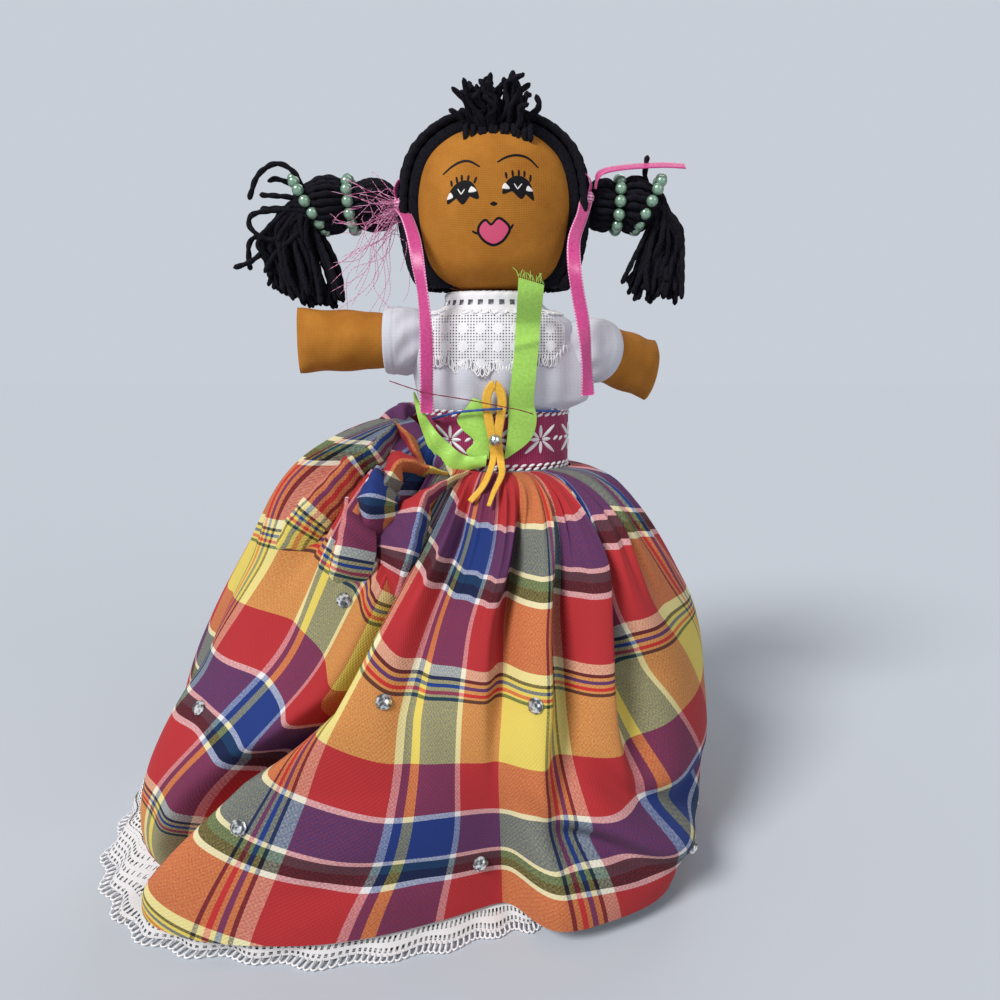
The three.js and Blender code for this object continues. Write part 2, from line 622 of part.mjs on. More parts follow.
// Satin ribbons sewn over the front of the waistband
const onBand = (degrees, height, margin) =>
  vec(
    (BAND_HALF[0] + margin) * Math.cos(radians(degrees)),
    (BAND_HALF[1] + margin) * Math.sin(radians(degrees)),
    height,
  );

function addWaistRibbons(doll) {
  const greenOut = GAP + RIBBON_THICKNESS / 2;
  const bandFront = -BAND_HALF[1] - greenOut;
  const stripBottom = WAISTBAND_BOTTOM + 6;
  const turn = Math.acos(GREEN_STRIP_SIDE / BAND_HALF[0]);
  const stripAt = (height, out) => {
    const margin = greenOut + out;
    return vec((BAND_HALF[0] + margin) * Math.cos(turn), -(BAND_HALF[1] + margin) * Math.sin(turn), height);
  };
  const chestOut = Math.max(0, (CHEST_DEPTH - WAIST_DEPTH) / 2 + GAP);
  const stripPath = new THREE.CatmullRomCurve3([
    stripAt(stripBottom, 0),
    stripAt(WAISTBAND_TOP - 6, 0),
    stripAt(WAISTBAND_TOP + 14, chestOut),
    stripAt(stripBottom + GREEN_STRIP_LENGTH * 0.8, chestOut).add(vec(3, 0, 0)),
    stripAt(stripBottom + GREEN_STRIP_LENGTH, chestOut - 1).add(vec(4, 0, 0)),
  ]).getPoints(10);
  const tangent = vec(BAND_HALF[0] * Math.sin(turn), BAND_HALF[1] * Math.cos(turn), 0);
  const strip = ribbon(stripPath, tangent, GREEN_RIBBON_WIDTH, RIBBON_THICKNESS);
  addMesh(doll, "green_ribbon_strip", strip, GREEN_SATIN);

  // The swag is the same ribbon turned sideways: it dips along the band and climbs to the left hip
  const swagPath = [268, 258, 247, 236, 224, 212].map((degrees, i) => {
    const climb = Math.max(0, i - 2) / 3;
    return onBand(degrees, WAISTBAND_BOTTOM + 8 + 13 * climb * climb, greenOut);
  });
  const swag = ribbon(swagPath, vec(0, 0, 1), GREEN_RIBBON_WIDTH - 2, RIBBON_THICKNESS);
  addMesh(doll, "green_ribbon_swag", swag, GREEN_SATIN);

  const yellowFront = bandFront - RIBBON_THICKNESS - GAP;
  const middle = WAIST_HEIGHT + 3;
  const outline = new THREE.Shape();
  outline.moveTo(0, middle);
  outline.quadraticCurveTo(-YELLOW_LOOP_WIDTH, middle + YELLOW_LOOP_HEIGHT * 0.6, 0, middle + YELLOW_LOOP_HEIGHT);
  outline.quadraticCurveTo(YELLOW_LOOP_WIDTH, middle + YELLOW_LOOP_HEIGHT * 0.6, 0, middle);
  const loop = new THREE.ExtrudeGeometry(outline, { depth: RIBBON_THICKNESS, bevelEnabled: false, curveSegments: 8 })
    .rotateX(Math.PI / 2)
    .translate(0, yellowFront + RIBBON_THICKNESS / 2, 0);
  const tailDrop = WAISTBAND_BOTTOM - 4;
  const tailEnd = middle - YELLOW_TAIL_LENGTH;
  const tails = [-1, 1].map((way) => {
    const path = new THREE.CatmullRomCurve3([
      vec(0, yellowFront, middle + 1),
      vec(way * 0.6 * YELLOW_RIBBON_WIDTH, yellowFront, middle - 0.3 * YELLOW_TAIL_LENGTH),
      vec(way * 1.1 * YELLOW_RIBBON_WIDTH, yellowFront - 3, WAISTBAND_BOTTOM + 1),
      vec((way * 1.6 - 0.6) * YELLOW_RIBBON_WIDTH, skirtFrontAt(tailDrop) - YELLOW_TAIL_OFF_SKIRT, tailDrop),
      vec((way * 1.6 - 1.2) * YELLOW_RIBBON_WIDTH, skirtFrontAt(tailEnd) - YELLOW_TAIL_OFF_SKIRT, tailEnd),
    ]).getPoints(8);
    return ribbon(path, vec(1, 0, 0), YELLOW_RIBBON_WIDTH, RIBBON_THICKNESS);
  });
  addMesh(doll, "yellow_ribbon", join(loop, ...tails), YELLOW_SATIN);

  const stone = stoneGeometry().rotateX(Math.PI / 2);
  stone.translate(0, yellowFront - RIBBON_THICKNESS / 2 - GAP, middle);
  addMesh(doll, "waist_rhinestone", stone, RHINESTONE);
}

// Skirt surface: a bell that hangs from the waist and is fuller on one side, with folds along its lines
const SKIRT_TOP = WAISTBAND_BOTTOM - GAP;
const LINING_TOP_HALF = [
  torsoForm.at(WAISTBAND_HEIGHT / 2).x + TRIM_OUTER,
  torsoForm.at(WAISTBAND_HEIGHT / 2).y + TRIM_OUTER,
];
const PLAID_TOP_MARGIN = GAP + CLOTH;
const FRONT_FOLD = 4;

const angleBetween = (a, b) => ((((a - b) % 360) + 540) % 360) - 180;
const bump = (degrees, centre, spread) => Math.exp(-((angleBetween(degrees, centre) / spread) ** 2));

// The plan's values in one direction, on a smooth closed curve through its entries
function planAt(degrees) {
  const turned = (((degrees % 360) + 360) % 360) - SKIRT_PLAN[0].angle;
  const count = SKIRT_PLAN.length;
  const next = SKIRT_PLAN.findIndex((entry) => entry.angle - SKIRT_PLAN[0].angle > turned);
  const i = (next === -1 ? count : next) - 1;
  const [before, from, to, after] = [-1, 0, 1, 2].map((step) => SKIRT_PLAN[(i + step + count) % count]);
  const t = (turned + SKIRT_PLAN[0].angle - from.angle) / ((to.angle - from.angle + 360) % 360);
  const at = (key) => {
    const [a, b, c, d] = [before[key], from[key], to[key], after[key]];
    return b + (t * (c - a + t * (2 * a - 5 * b + 4 * c - d + t * (3 * (b - c) + d - a)))) / 2;
  };
  return { reach: SKIRT_SPREAD * at("reach"), puff: at("puff"), fullest: at("fullest") };
}

function bellRadius(degrees, share, topMargin) {
  const { reach, puff, fullest } = planAt(degrees);
  const [across, deep] = LINING_TOP_HALF.map((half) => half + topMargin);
  const top = 1 / Math.hypot(Math.cos(radians(degrees)) / across, Math.sin(radians(degrees)) / deep);
  const way = share / fullest;
  const flare = (way ** puff - (puff / 6) * way ** 6) / (1 - puff / 6);
  return top + (reach - top) * flare;
}

// A value given at the fold lines' shares, at another share; the cloth is smooth at the waist seam
function alongFold(values, share) {
  const next = FOLD_SHARES.findIndex((end) => end > share);
  if (next === -1) return values.at(-1);
  if (next === 0) return values[0];
  const t = (share - FOLD_SHARES[next - 1]) / (FOLD_SHARES[next] - FOLD_SHARES[next - 1]);
  return THREE.MathUtils.lerp(values[next - 1], values[next], t);
}

// Columns of the cloth at one share: every fold line, and the middle of the cloth between two lines
function skirtColumns(share) {
  const seamShare = Math.min(1, share / FOLD_SHARES[0]);
  const lines = FOLDS.map(({ angles, out }) => [alongFold(angles, share), seamShare * alongFold(out, share)]);
  return lines.flatMap(([angle, out], i) => {
    const [nextAngle, nextOut] = i + 1 < lines.length ? lines[i + 1] : [lines[0][0] + 360, lines[0][1]];
    return [
      { degrees: angle, out },
      { degrees: (angle + nextAngle) / 2, out: (out + nextOut) / 2 },
    ];
  });
}

// One point of a skirt layer: its column, share of the way from the top edge to the floor, distance inside the plaid
function skirtPoint({ degrees, out }, share, inset, isBunched) {
  const lift = isBunched ? bump(degrees, BUNCH_ANGLE, BUNCH_SPREAD) : 0;
  const height = (SKIRT_TOP + BUNCH_RISE * lift) * (1 - share);
  const radius =
    bellRadius(degrees, share, PLAID_TOP_MARGIN) + BUNCH_OUT * lift * (1 - share) ** 4 + out - inset;
  return vec(radius * Math.cos(radians(degrees)), radius * Math.sin(radians(degrees)), height);
}

function skirtFrontAt(height) {
  return skirtPoint({ degrees: 270, out: FRONT_FOLD }, 1 - height / SKIRT_TOP, 0, true).y;
}

const layerInset = (share) => CLOTH + GAP + SKIRT_LAYER_GAP * share;

function skirtLayer(from, to, outer, inner, isBunched) {
  const levels = [...SKIRT_LEVELS, 1 - HEM_LACE_HEIGHT / SKIRT_TOP, 1 - PLAID_HEM_HEIGHT / SKIRT_TOP];
  const shares = [from, ...levels.filter((share) => share > from && share < to), to];
  const ring = (share, inset) =>
    skirtColumns(share).map((column) => skirtPoint(column, share, inset(share), isBunched));
  return skin(
    [...shares.map((s) => ring(s, outer)), ...shares.toReversed().map((s) => ring(s, inner))],
    true,
  );
}

function addSkirts(doll) {
  const hemShare = 1 - PLAID_HEM_HEIGHT / SKIRT_TOP;
  const plaid = skirtLayer(0, hemShare, () => 0, () => CLOTH, true);
  addMesh(doll, "plaid_skirt", plaid, PLAID_COTTON);

  const lining = skirtLayer(0, 1, layerInset, (share) => layerInset(share) + CLOTH, false);
  addMesh(doll, "lace_underskirt", lining, WHITE_LACE);

  const trimInset = (share) => layerInset(share) - GAP - CLOTH / 2;
  const hem = skirtLayer(
    1 - HEM_LACE_HEIGHT / SKIRT_TOP,
    1 - HEM_LACE_LIFT / SKIRT_TOP,
    trimInset,
    (share) => layerInset(share) - GAP,
    false,
  );
  addMesh(doll, "hem_lace", hem, WHITE_LACE);
}

// Rhinestone: a cut dome on a flat back, its axis along +Z
function stoneGeometry() {
  const radius = STONE_DIAMETER / 2;
  return new THREE.LatheGeometry(
    [
      [0, 0],
      [radius, 0],
      [radius, STONE_HEIGHT * 0.35],
      [radius * 0.6, STONE_HEIGHT],
      [0, STONE_HEIGHT],
    ].map(([r, z]) => new THREE.Vector2(r, z)),
    8,
  ).rotateX(Math.PI / 2);
}

// Each stone lies on the facet of the plaid that a level line towards the doll's axis meets first
function addStones(doll) {
  const plaid = doll.getObjectByName("plaid_skirt");
  const outside = 3 * SKIRT_SPREAD;
  STONES.forEach(({ angle, height }, i) => {
    const way = vec(Math.cos(radians(angle)), Math.sin(radians(angle)), 0);
    const start = way.clone().multiplyScalar(outside).setZ(height);
    const [hit] = new THREE.Raycaster(start, way.negate()).intersectObject(plaid);
    const stone = addMesh(doll, `rhinestone_${i + 1}`, stoneGeometry(), RHINESTONE);
    stone.position.copy(hit.point).addScaledVector(hit.face.normal, 1.2 * GAP);
    stone.quaternion.setFromUnitVectors(vec(0, 0, 1), hit.face.normal);
  });
}

// Assembly
const doll = new THREE.Group();
for (const name of ["upper", "lower"]) {
  const half = new THREE.Group();
  half.position.z = WAIST_HEIGHT;
  if (name === "lower") half.rotation.y = Math.PI;
  doll.add(half);
  addBody(half, name);
  for (const sideName of Object.keys(SIDES)) addArm(half, name, sideName);
  const head = addHead(half, name);
  if (name === "upper") {
    addTuft(head);
    for (const sideName of Object.keys(SIDES)) addPigtail(head, sideName);
  }
}
addWaistband(doll);
addSkirts(doll);
addWaistRibbons(doll);
addStones(doll);

// The origin is on the floor under the middle of the doll's outline
doll.updateMatrixWorld(true);
const middle = new THREE.Box3().setFromObject(doll).getCenter(vec());
doll.position.set(-middle.x, -middle.y, 0);

export default doll;
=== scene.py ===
# The looks of a topsy-turvy rag doll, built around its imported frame. Shapes are worked out in millimetres
# from the doll's upright axis, on the floor: +X right, -Y front, +Z up.
import json
import math

import bpy
import numpy as np
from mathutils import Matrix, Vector

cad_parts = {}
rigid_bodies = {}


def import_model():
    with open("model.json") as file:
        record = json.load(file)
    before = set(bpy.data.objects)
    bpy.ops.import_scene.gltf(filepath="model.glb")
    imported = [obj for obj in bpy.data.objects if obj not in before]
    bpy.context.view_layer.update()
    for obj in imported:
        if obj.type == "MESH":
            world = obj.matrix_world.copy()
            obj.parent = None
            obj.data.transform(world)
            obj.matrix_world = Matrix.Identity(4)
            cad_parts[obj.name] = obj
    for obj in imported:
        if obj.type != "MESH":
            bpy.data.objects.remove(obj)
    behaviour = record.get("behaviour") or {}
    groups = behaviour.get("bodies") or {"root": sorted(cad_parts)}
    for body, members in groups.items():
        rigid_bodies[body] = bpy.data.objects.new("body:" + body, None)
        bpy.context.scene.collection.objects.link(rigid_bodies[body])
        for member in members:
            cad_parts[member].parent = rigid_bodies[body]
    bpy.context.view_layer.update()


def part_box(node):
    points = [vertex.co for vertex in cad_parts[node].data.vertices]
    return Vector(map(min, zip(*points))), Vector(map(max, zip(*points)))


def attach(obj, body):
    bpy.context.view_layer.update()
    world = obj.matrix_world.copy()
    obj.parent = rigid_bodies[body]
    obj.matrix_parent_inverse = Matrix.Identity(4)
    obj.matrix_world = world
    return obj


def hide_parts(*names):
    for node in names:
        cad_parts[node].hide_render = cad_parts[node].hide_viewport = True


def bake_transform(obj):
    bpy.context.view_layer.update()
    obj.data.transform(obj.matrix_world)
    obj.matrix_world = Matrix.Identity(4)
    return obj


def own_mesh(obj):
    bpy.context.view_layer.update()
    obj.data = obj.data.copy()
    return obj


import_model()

# Studio: a plain pale floor, soft light from above on the left, and a close camera that looks slightly
# down. The floor is matt card, so it takes only the soft shadow of the skirt.
MM = 0.001
torso_corners = np.array([list(corner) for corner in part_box("torso_upper")])
axis = np.array([*torso_corners.mean(axis=0)[:2], 0.0])


def linear(colour):
    """An sRGB hex colour as the linear colour that shaders take."""
    parts = [int(colour[i : i + 2], 16) / 255 for i in (0, 2, 4)]
    return [((c + 0.055) / 1.055) ** 2.4 if c > 0.04045 else c / 12.92 for c in parts] + [1.0]


def add(tree, kind, links=None, into=None, stops=(), **settings):
    """One shader node: nodes or sockets that feed its inputs, the socket it feeds, and a ramp's colours."""
    node = tree.nodes.new("ShaderNode" + kind)
    for name, value in settings.items():
        if name in node.bl_rna.properties:
            setattr(node, name, value)
        else:
            socket = int(name[2:]) if name.startswith("in") else name.replace("_", " ")
            node.inputs[socket].default_value = value
    for n, (position, colour) in enumerate(stops):
        stop = node.color_ramp.elements[n] if n < 2 else node.color_ramp.elements.new(position)
        stop.position = position
        stop.color = linear(colour)
    for socket, source in (links or {}).items():
        tree.links.new(source.outputs[0] if hasattr(source, "outputs") else source, node.inputs[socket])
    if into is not None:
        tree.links.new(node.outputs[0], into)
    return node


def new_material(name, colour, roughness, **settings):
    """A named material with its shader, ready for its pattern nodes."""
    material = bpy.data.materials.new(name)
    material.use_nodes = True
    shader = material.node_tree.nodes["Principled BSDF"]
    shader.inputs["Base Color"].default_value = linear(colour)
    shader.inputs["Roughness"].default_value = roughness
    for socket, value in settings.items():
        shader.inputs[socket.replace("_", " ")].default_value = value
    return material, material.node_tree, shader


scene = bpy.context.scene
scene.view_settings.view_transform = "Standard"

CAMERA_PLACE = (2.7, -370.0, 218.2)
CAMERA_TILT = 11.14
CAMERA_LENS = 28.8
SENSOR_WIDTH = 36.0
camera = bpy.data.objects.new("camera", bpy.data.cameras.new("camera"))
camera.data.lens = CAMERA_LENS
camera.data.sensor_width = SENSOR_WIDTH
camera.data.clip_start = 0.01
camera.location = axis + np.array(CAMERA_PLACE) * MM
camera.rotation_euler = (math.radians(90 - CAMERA_TILT), 0, 0)
scene.collection.objects.link(camera)
scene.camera = camera

world = bpy.data.worlds.new("studio")
scene.world = world
world.use_nodes = True
sky = world.node_tree
sky.nodes.clear()
ray = add(sky, "LightPath")
seen = add(
    sky, "Math", {0: ray.outputs["Is Camera Ray"], 1: ray.outputs["Is Transmission Ray"]},
    operation="MAXIMUM",
)
light = add(sky, "Background", Color=linear("f2f4fa"), Strength=0.38)
card = add(sky, "Background", Color=linear("c8ced7"), Strength=1.0)
mixed = add(sky, "MixShader", {0: seen, 1: light, 2: card})
add(sky, "OutputWorld", {0: mixed})

# Matt card: uncoated, so it has no gloss at all
floor_card, _, _ = new_material("matt card", "bcc1c8", 1.0, Specular_IOR_Level=0.0)
floor_mesh = bpy.data.meshes.new("floor")
FLOOR_REACH = 4.0
corners = [(x * FLOOR_REACH, y * FLOOR_REACH, 0) for x, y in ((-1, -1), (1, -1), (1, 1), (-1, 1))]
floor_mesh.from_pydata(corners, [], [(0, 1, 2, 3)])
floor_mesh.materials.append(floor_card)
floor = bpy.data.objects.new("floor", floor_mesh)
scene.collection.objects.link(floor)

# Each lamp is far off: its direction, the angle it fills and its strength
LAMPS = (
    ("window", (-0.85, -0.85, 1.05), 21, 3.0),
    ("fill", (0.9, -0.8, 0.55), 38, 0.5),
    ("back", (0.3, 1.1, 0.95), 31, 0.5),
)
for name, place, angle, strength in LAMPS:
    lamp = bpy.data.objects.new(name, bpy.data.lights.new(name, "SUN"))
    lamp.data.angle = math.radians(angle)
    lamp.data.energy = strength
    lamp.location = place
    lamp.rotation_euler = (-Vector(place)).to_track_quat("-Z", "Y").to_euler()
    scene.collection.objects.link(lamp)


# Plaid skirt: madras cotton in plain weave, about 84 cm wide, gathered by hand into the seam under the
# waistband. It is bunched up at the left hip, hangs in lobes with deep valleys, and its hem rests just off
# the floor.
def through(points, count, is_closed=False):
    """A smooth curve through rows of numbers, as count rows evenly spread between its knots."""
    p = np.asarray(points, float)
    spans = len(p) if is_closed else len(p) - 1
    where = np.arange(count) * spans / (count if is_closed else count - 1)
    i = np.minimum(where.astype(int), spans - 1)
    t = (where - i).reshape(-1, *[1] * (p.ndim - 1))
    if is_closed:
        a, b, c, d = (p[(i + step) % len(p)] for step in (-1, 0, 1, 2))
    else:
        ends = np.concatenate([[2 * p[0] - p[1]], p, [2 * p[-1] - p[-2]]])
        a, b, c, d = (ends[i + step] for step in (0, 1, 2, 3))
    return b + t * (c - a + t * (2 * a - 5 * b + 4 * c - d + t * (3 * (b - c) + d - a))) / 2


def grid(rows, columns, is_closed=False):
    """Quads of a grid of points; a closed one joins its last column to its first."""
    i, j = np.meshgrid(np.arange(rows - 1), np.arange(columns if is_closed else columns - 1), indexing="ij")
    k = (j + 1) % columns
    corners = (i * columns + j, i * columns + k, (i + 1) * columns + k, (i + 1) * columns + j)
    return np.stack(corners, -1).reshape(-1, 4)


def side_by_side(*parts):
    """Numbers of one common shape put together as points or as places on the cloth."""
    return np.stack(np.broadcast_arrays(*parts), -1)


def unit(directions):
    """Directions with a length of 1."""
    return directions / np.linalg.norm(directions, axis=-1, keepdims=True)


def gone_along(line):
    """The length gone at each point of a line."""
    return np.concatenate([[0], np.cumsum(np.linalg.norm(np.diff(line, axis=0), axis=1))])


def piece(name, vertices, faces, material, uvs=None):
    """A smooth-shaded mesh from millimetres about the doll's axis; uvs are metres of cloth per vertex."""
    mesh = bpy.data.meshes.new(name)
    points = np.asarray(vertices, float).reshape(-1, 3) * MM + axis
    mesh.from_pydata(points.tolist(), [], [list(face) for face in faces])
    mesh.materials.append(material)
    if uvs is not None:
        layer = mesh.uv_layers.new(name="cloth")
        corner = np.empty(len(mesh.loops), int)
        mesh.loops.foreach_get("vertex_index", corner)
        layer.data.foreach_set("uv", np.asarray(uvs, float).reshape(-1, 2)[corner].ravel())
    mesh.polygons.foreach_set("use_smooth", [True] * len(mesh.polygons))
    mesh.update()
    obj = bpy.data.objects.new(name, mesh)
    scene.collection.objects.link(obj)
    return obj


def joined(parts):
    """Several sets of points and faces as one."""
    points, faces, start = [], [], 0
    for some_points, some_faces in parts:
        points.append(np.reshape(some_points, (-1, 3)))
        faces.extend([[corner + start for corner in face] for face in some_faces])
        start += len(points[-1])
    return np.concatenate(points), faces


def dress(obj, node, body):
    """Puts a modelled piece in place of its plain solid and its body."""
    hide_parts(node)
    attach(obj, body)


def ease(x, start, end):
    """0 before start, 1 after end, and a soft step between them."""
    t = np.clip((x - start) / (end - start), 0, 1)
    return t * t * (3 - 2 * t)


def bump(degrees, centre, spread):
    """A soft hump of height 1 round a direction in degrees; it goes on past a full turn."""
    return np.exp(-((((degrees - centre + 180) % 360 - 180) / spread) ** 2))


def soften(values, span, axis_number):
    """A moving average along one axis, with its ends held."""
    pad = [(0, 0)] * values.ndim
    pad[axis_number] = (span, span)
    kernel = np.hanning(2 * span + 3)[1:-1]
    padded_values = np.pad(values, pad, mode="reflect", reflect_type="odd")
    return np.apply_along_axis(np.convolve, axis_number, padded_values, kernel / kernel.sum(), "valid")


SKIRT_TOP = 162.7
SKIRT_SPREAD = 120.0
BUNCH_RISE = 24.0
WAIST_SEAM = (35.5, 26.0)
# Direction, reach as a share of the spread, how soon the cloth gets there, and how far down it is fullest
SKIRT_PLAN = (
    (0, 0.83, 0.44, 0.74), (45, 0.84, 0.5, 0.8), (90, 0.9, 0.56, 0.86), (135, 1.08, 0.62, 0.86),
    (180, 1.2, 0.5, 0.86), (205, 1.28, 0.5, 0.88), (223, 1.34, 0.83, 0.98), (238, 1.24, 0.86, 1),
    (254, 1.09, 0.74, 1), (270, 0.95, 0.56, 0.98), (284, 0.89, 0.5, 0.92), (298, 0.88, 0.48, 0.88),
    (312, 0.9, 0.46, 0.8), (336, 0.86, 0.42, 0.74), (360, 0.83, 0.44, 0.74),
)
plan_curve = through(SKIRT_PLAN, 421)


def bell(degrees, share):
    """The skirt's smooth form: distance from the axis, by direction and share of the way down."""
    reach, puff, fullest = (
        np.interp(degrees, plan_curve[:, 0], plan_curve[:, k], period=360) for k in (1, 2, 3)
    )
    turn = np.radians(degrees)
    top = 1 / np.hypot(np.cos(turn) / WAIST_SEAM[0], np.sin(turn) / WAIST_SEAM[1])
    way = share / fullest
    flare = (way**puff - puff / 6 * way**6) / (1 - puff / 6)
    return top + (SKIRT_SPREAD * reach - top) * flare


# Where the threads run, by width of cloth: their directions at these shares of the way down; then how much
# cloth is taken up in the seam, and the length of cloth over the whole height
THREAD_SHARES = (0, 0.15, 0.3, 0.45, 0.6, 0.75, 0.95)
THREADS = (
    (-513, (95, 96, 97, 98, 99, 100, 100), 24, 180),
    (-395, (152, 150, 148, 147, 147, 147, 147), 44, 186),
    (-330, (180, 176, 174, 173, 172.5, 172, 172), 98, 192),
    (-278, (203, 197, 195, 194, 193, 192, 192), 48, 200),
    (-241, (210, 208, 209.5, 208.5, 206, 204, 203), 48, 208),
    (-208, (219, 218.5, 219.5, 221.5, 217.5, 212, 208), 48, 208),
    (-173, (227, 227.5, 229, 229.5, 225, 218, 212), 44, 198),
    (-145, (232, 233, 234.5, 234.5, 229.8, 224, 217), 39, 184),
    (-108, (245, 244, 241.5, 239.5, 236.5, 235, 232.4), 30, 182),
    (-75, (257, 254, 250, 249.5, 251, 250, 244.5), 20, 182),
    (-40, (272, 269.5, 263, 262, 262, 262.3, 258.5), 20, 182),
    (0, (293, 283, 277.5, 277, 275, 275.5, 278), 20, 180),
    (58, (310, 305, 301, 299, 299.5, 302.5, 309), 26, 168),
    (96, (316, 307, 305, 311, 321, 332, 338), 44, 148),
    (133, (326, 320, 322, 336, 346, 353, 358), 46, 146),
    (230, (378, 384, 396, 404, 408, 411, 412), 30, 172),
    (328, (452, 454, 456, 458, 459, 460, 460), 24, 180),
)
# Folds: width of cloth where the crest (or, below zero, the valley) runs at five shares of the way down;
# shares where it starts, is deepest and ends; its height, and its run-out to the left and right
CREST_SHARES = (0, 0.25, 0.5, 0.65, 0.9)
FOLDS = (
    ((-146, -112, -109, -140, -147), (0.02, 0.5, 1.6), 11, 6, 46),
    ((-164, -128, -124, -157, -164), (0.02, 0.55, 1.8), -23, 13, 11),
    ((-74, -72, -70, -66, -60), (0.02, 0.18, 0.75), -9, 8, 8),
    ((-20, -22, -22, -20, -18), (0.02, 0.2, 0.7), 10, 20, 3.5),
    ((-11, -12, -12, -12, -12), (0.02, 0.2, 0.7), -8, 7, 9),
    ((20, 16, 16, 12, 10), (0.0, 0.3, 1.0), 12, 22, 3.5),
    ((29, 26, 26, 23, 22), (0.0, 0.3, 1.0), -9, 7, 11),
    ((59, 57, 56, 54, 52), (0.0, 0.2, 0.85), 15, 30, 4),
    ((70, 69, 68, 66, 64), (0.02, 0.25, 0.95), -11, 8, 14),
    ((112, 110, 110, 108, 106), (0.0, 0.14, 0.6), 8, 16, 20),
    ((-246, -240, -238, -235, -235), (0.0, 0.1, 0.32), 9, 26, 5),
    ((-230, -224, -221, -218, -218), (0.0, 0.12, 0.4), -13, 8, 7),
    ((-206, -204, -198, -192, -190), (0.01, 0.1, 0.5), 9, 5, 20),
    ((-176, -172, -166, -160, -160), (0.0, 0.08, 0.34), -12, 9, 9),
    ((-232, -230, -226, -224, -222), (0.3, 0.75, 1.5), 8, 30, 26),
    ((-262, -262, -262, -262, -262), (0.1, 0.6, 1.4), -6, 14, 16),
    ((165, 167, 168, 169, 170), (0.0, 0.5, 1.4), 6, 24, 12),
    ((192, 193, 194, 195, 196), (0.0, 0.6, 1.5), -7, 12, 12),
    ((232, 231, 230, 229, 228), (0.0, 0.4, 1.3), 6, 26, 14),
    ((262, 260, 258, 256, 255), (0.0, 0.7, 1.5), -7, 14, 14),
    ((300, 300, 300, 300, 300), (0.0, 0.5, 1.4), 6, 24, 18),
    ((-500, -498, -496, -494, -492), (0.0, 0.6, 1.5), -6, 14, 14),
    ((-458, -458, -458, -459, -460), (0.0, 0.5, 1.4), 7, 30, 16),
    ((-425, -426, -428, -429, -430), (0.0, 0.6, 1.5), -8, 14, 16),
    ((-378, -379, -380, -381, -382), (0.0, 0.6, 1.4), 7, 26, 30),
    ((-332, -332, -332, -333, -334), (0.0, 0.6, 1.5), -9, 16, 16),
    ((-298, -298, -298, -298, -298), (0.0, 0.6, 1.4), 6, 20, 20),
)
# Creases that cross the cloth where it slumps: spots of (width, share), depth and spread
CREASES = (
    (((4, 0.68), (17, 0.77), (36, 0.8), (54, 0.87)), -9, 6),
    (((34, 0.6), (56, 0.72), (80, 0.79), (110, 0.79)), -7, 7),
    (((22, 0.7), (48, 0.79), (76, 0.87), (104, 0.88)), 5, 8),
    (((-100, 0.86), (-70, 0.82), (-44, 0.86)), -3, 8),
    (((-252, 0.5), (-225, 0.57), (-205, 0.7)), -4, 9),
    (((70, 0.3), (84, 0.42), (100, 0.46)), -3.5, 8),
)
PLAID_COLUMNS = 760
PLAID_ROWS = 112
CLOTH_DROP = 242.0
HEM_SHARE = 0.957

widths = np.linspace(THREADS[0][0], THREADS[-1][0], PLAID_COLUMNS)
thread_widths = np.array([row[0] for row in THREADS], float)
thread_turns = np.array([row[1] for row in THREADS], float)
seam_take = soften(np.interp(widths, thread_widths, [row[2] for row in THREADS]), 14, 0)
cloth_rate = soften(np.interp(widths, thread_widths, [row[3] for row in THREADS]), 14, 0)
hem_share = soften(np.minimum(HEM_SHARE, (CLOTH_DROP - seam_take) / cloth_rate), 10, 0)
downs = np.linspace(0, 1, PLAID_ROWS)[:, None] ** 1.12
shares = downs * hem_share
fine_shares = np.linspace(0, 0.96, 97)
turns_fine = np.array([np.interp(widths, thread_widths, column) for column in thread_turns.T])
turns_fine = np.array(
    [np.interp(fine_shares, THREAD_SHARES, turns_fine[:, j]) for j in range(PLAID_COLUMNS)]
).T
turns_fine = soften(soften(turns_fine, 10, 1), 8, 0)
turns = np.array([np.interp(shares[:, j], fine_shares, turns_fine[:, j]) for j in range(PLAID_COLUMNS)]).T

chance = np.random.default_rng(7)


def fold_heights(width, share):
    """How far the folds push the cloth out, by place on the cloth."""
    height = np.zeros(np.broadcast(width, share).shape)
    for crest, (start, full, end), rise, left, right in FOLDS:
        away = width - np.interp(share, CREST_SHARES, crest)
        run_out = np.where(away < 0, left, right)
        fading = ease(share, start, full) * (1 - ease(share, full, end))
        height += rise * fading * np.exp(-((away / run_out) ** 2))
    for spots, rise, spread in CREASES:
        line = through(spots, 40)
        depth = np.zeros(height.shape)
        for (x, s), deep in zip(line, np.sin(np.linspace(0.1, np.pi - 0.1, len(line)))):
            away = (width - x) ** 2 + (180 * (share - s)) ** 2
            depth = np.maximum(depth, deep * np.exp(-away / spread**2))
        height += rise * depth
    return height


GATHER_SPACING = 15.0
gather_steps = GATHER_SPACING * chance.uniform(0.6, 1.4, 80)
gather_places = widths[0] + np.cumsum(gather_steps)
gather_phase = np.interp(widths, gather_places, np.arange(len(gather_places)) * 2 * np.pi)
gather_size = np.interp(widths, gather_places, chance.uniform(0.5, 1.2, len(gather_places)))
gathers = gather_size * (np.cos(gather_phase) + 0.3 * np.cos(2 * gather_phase + 1))

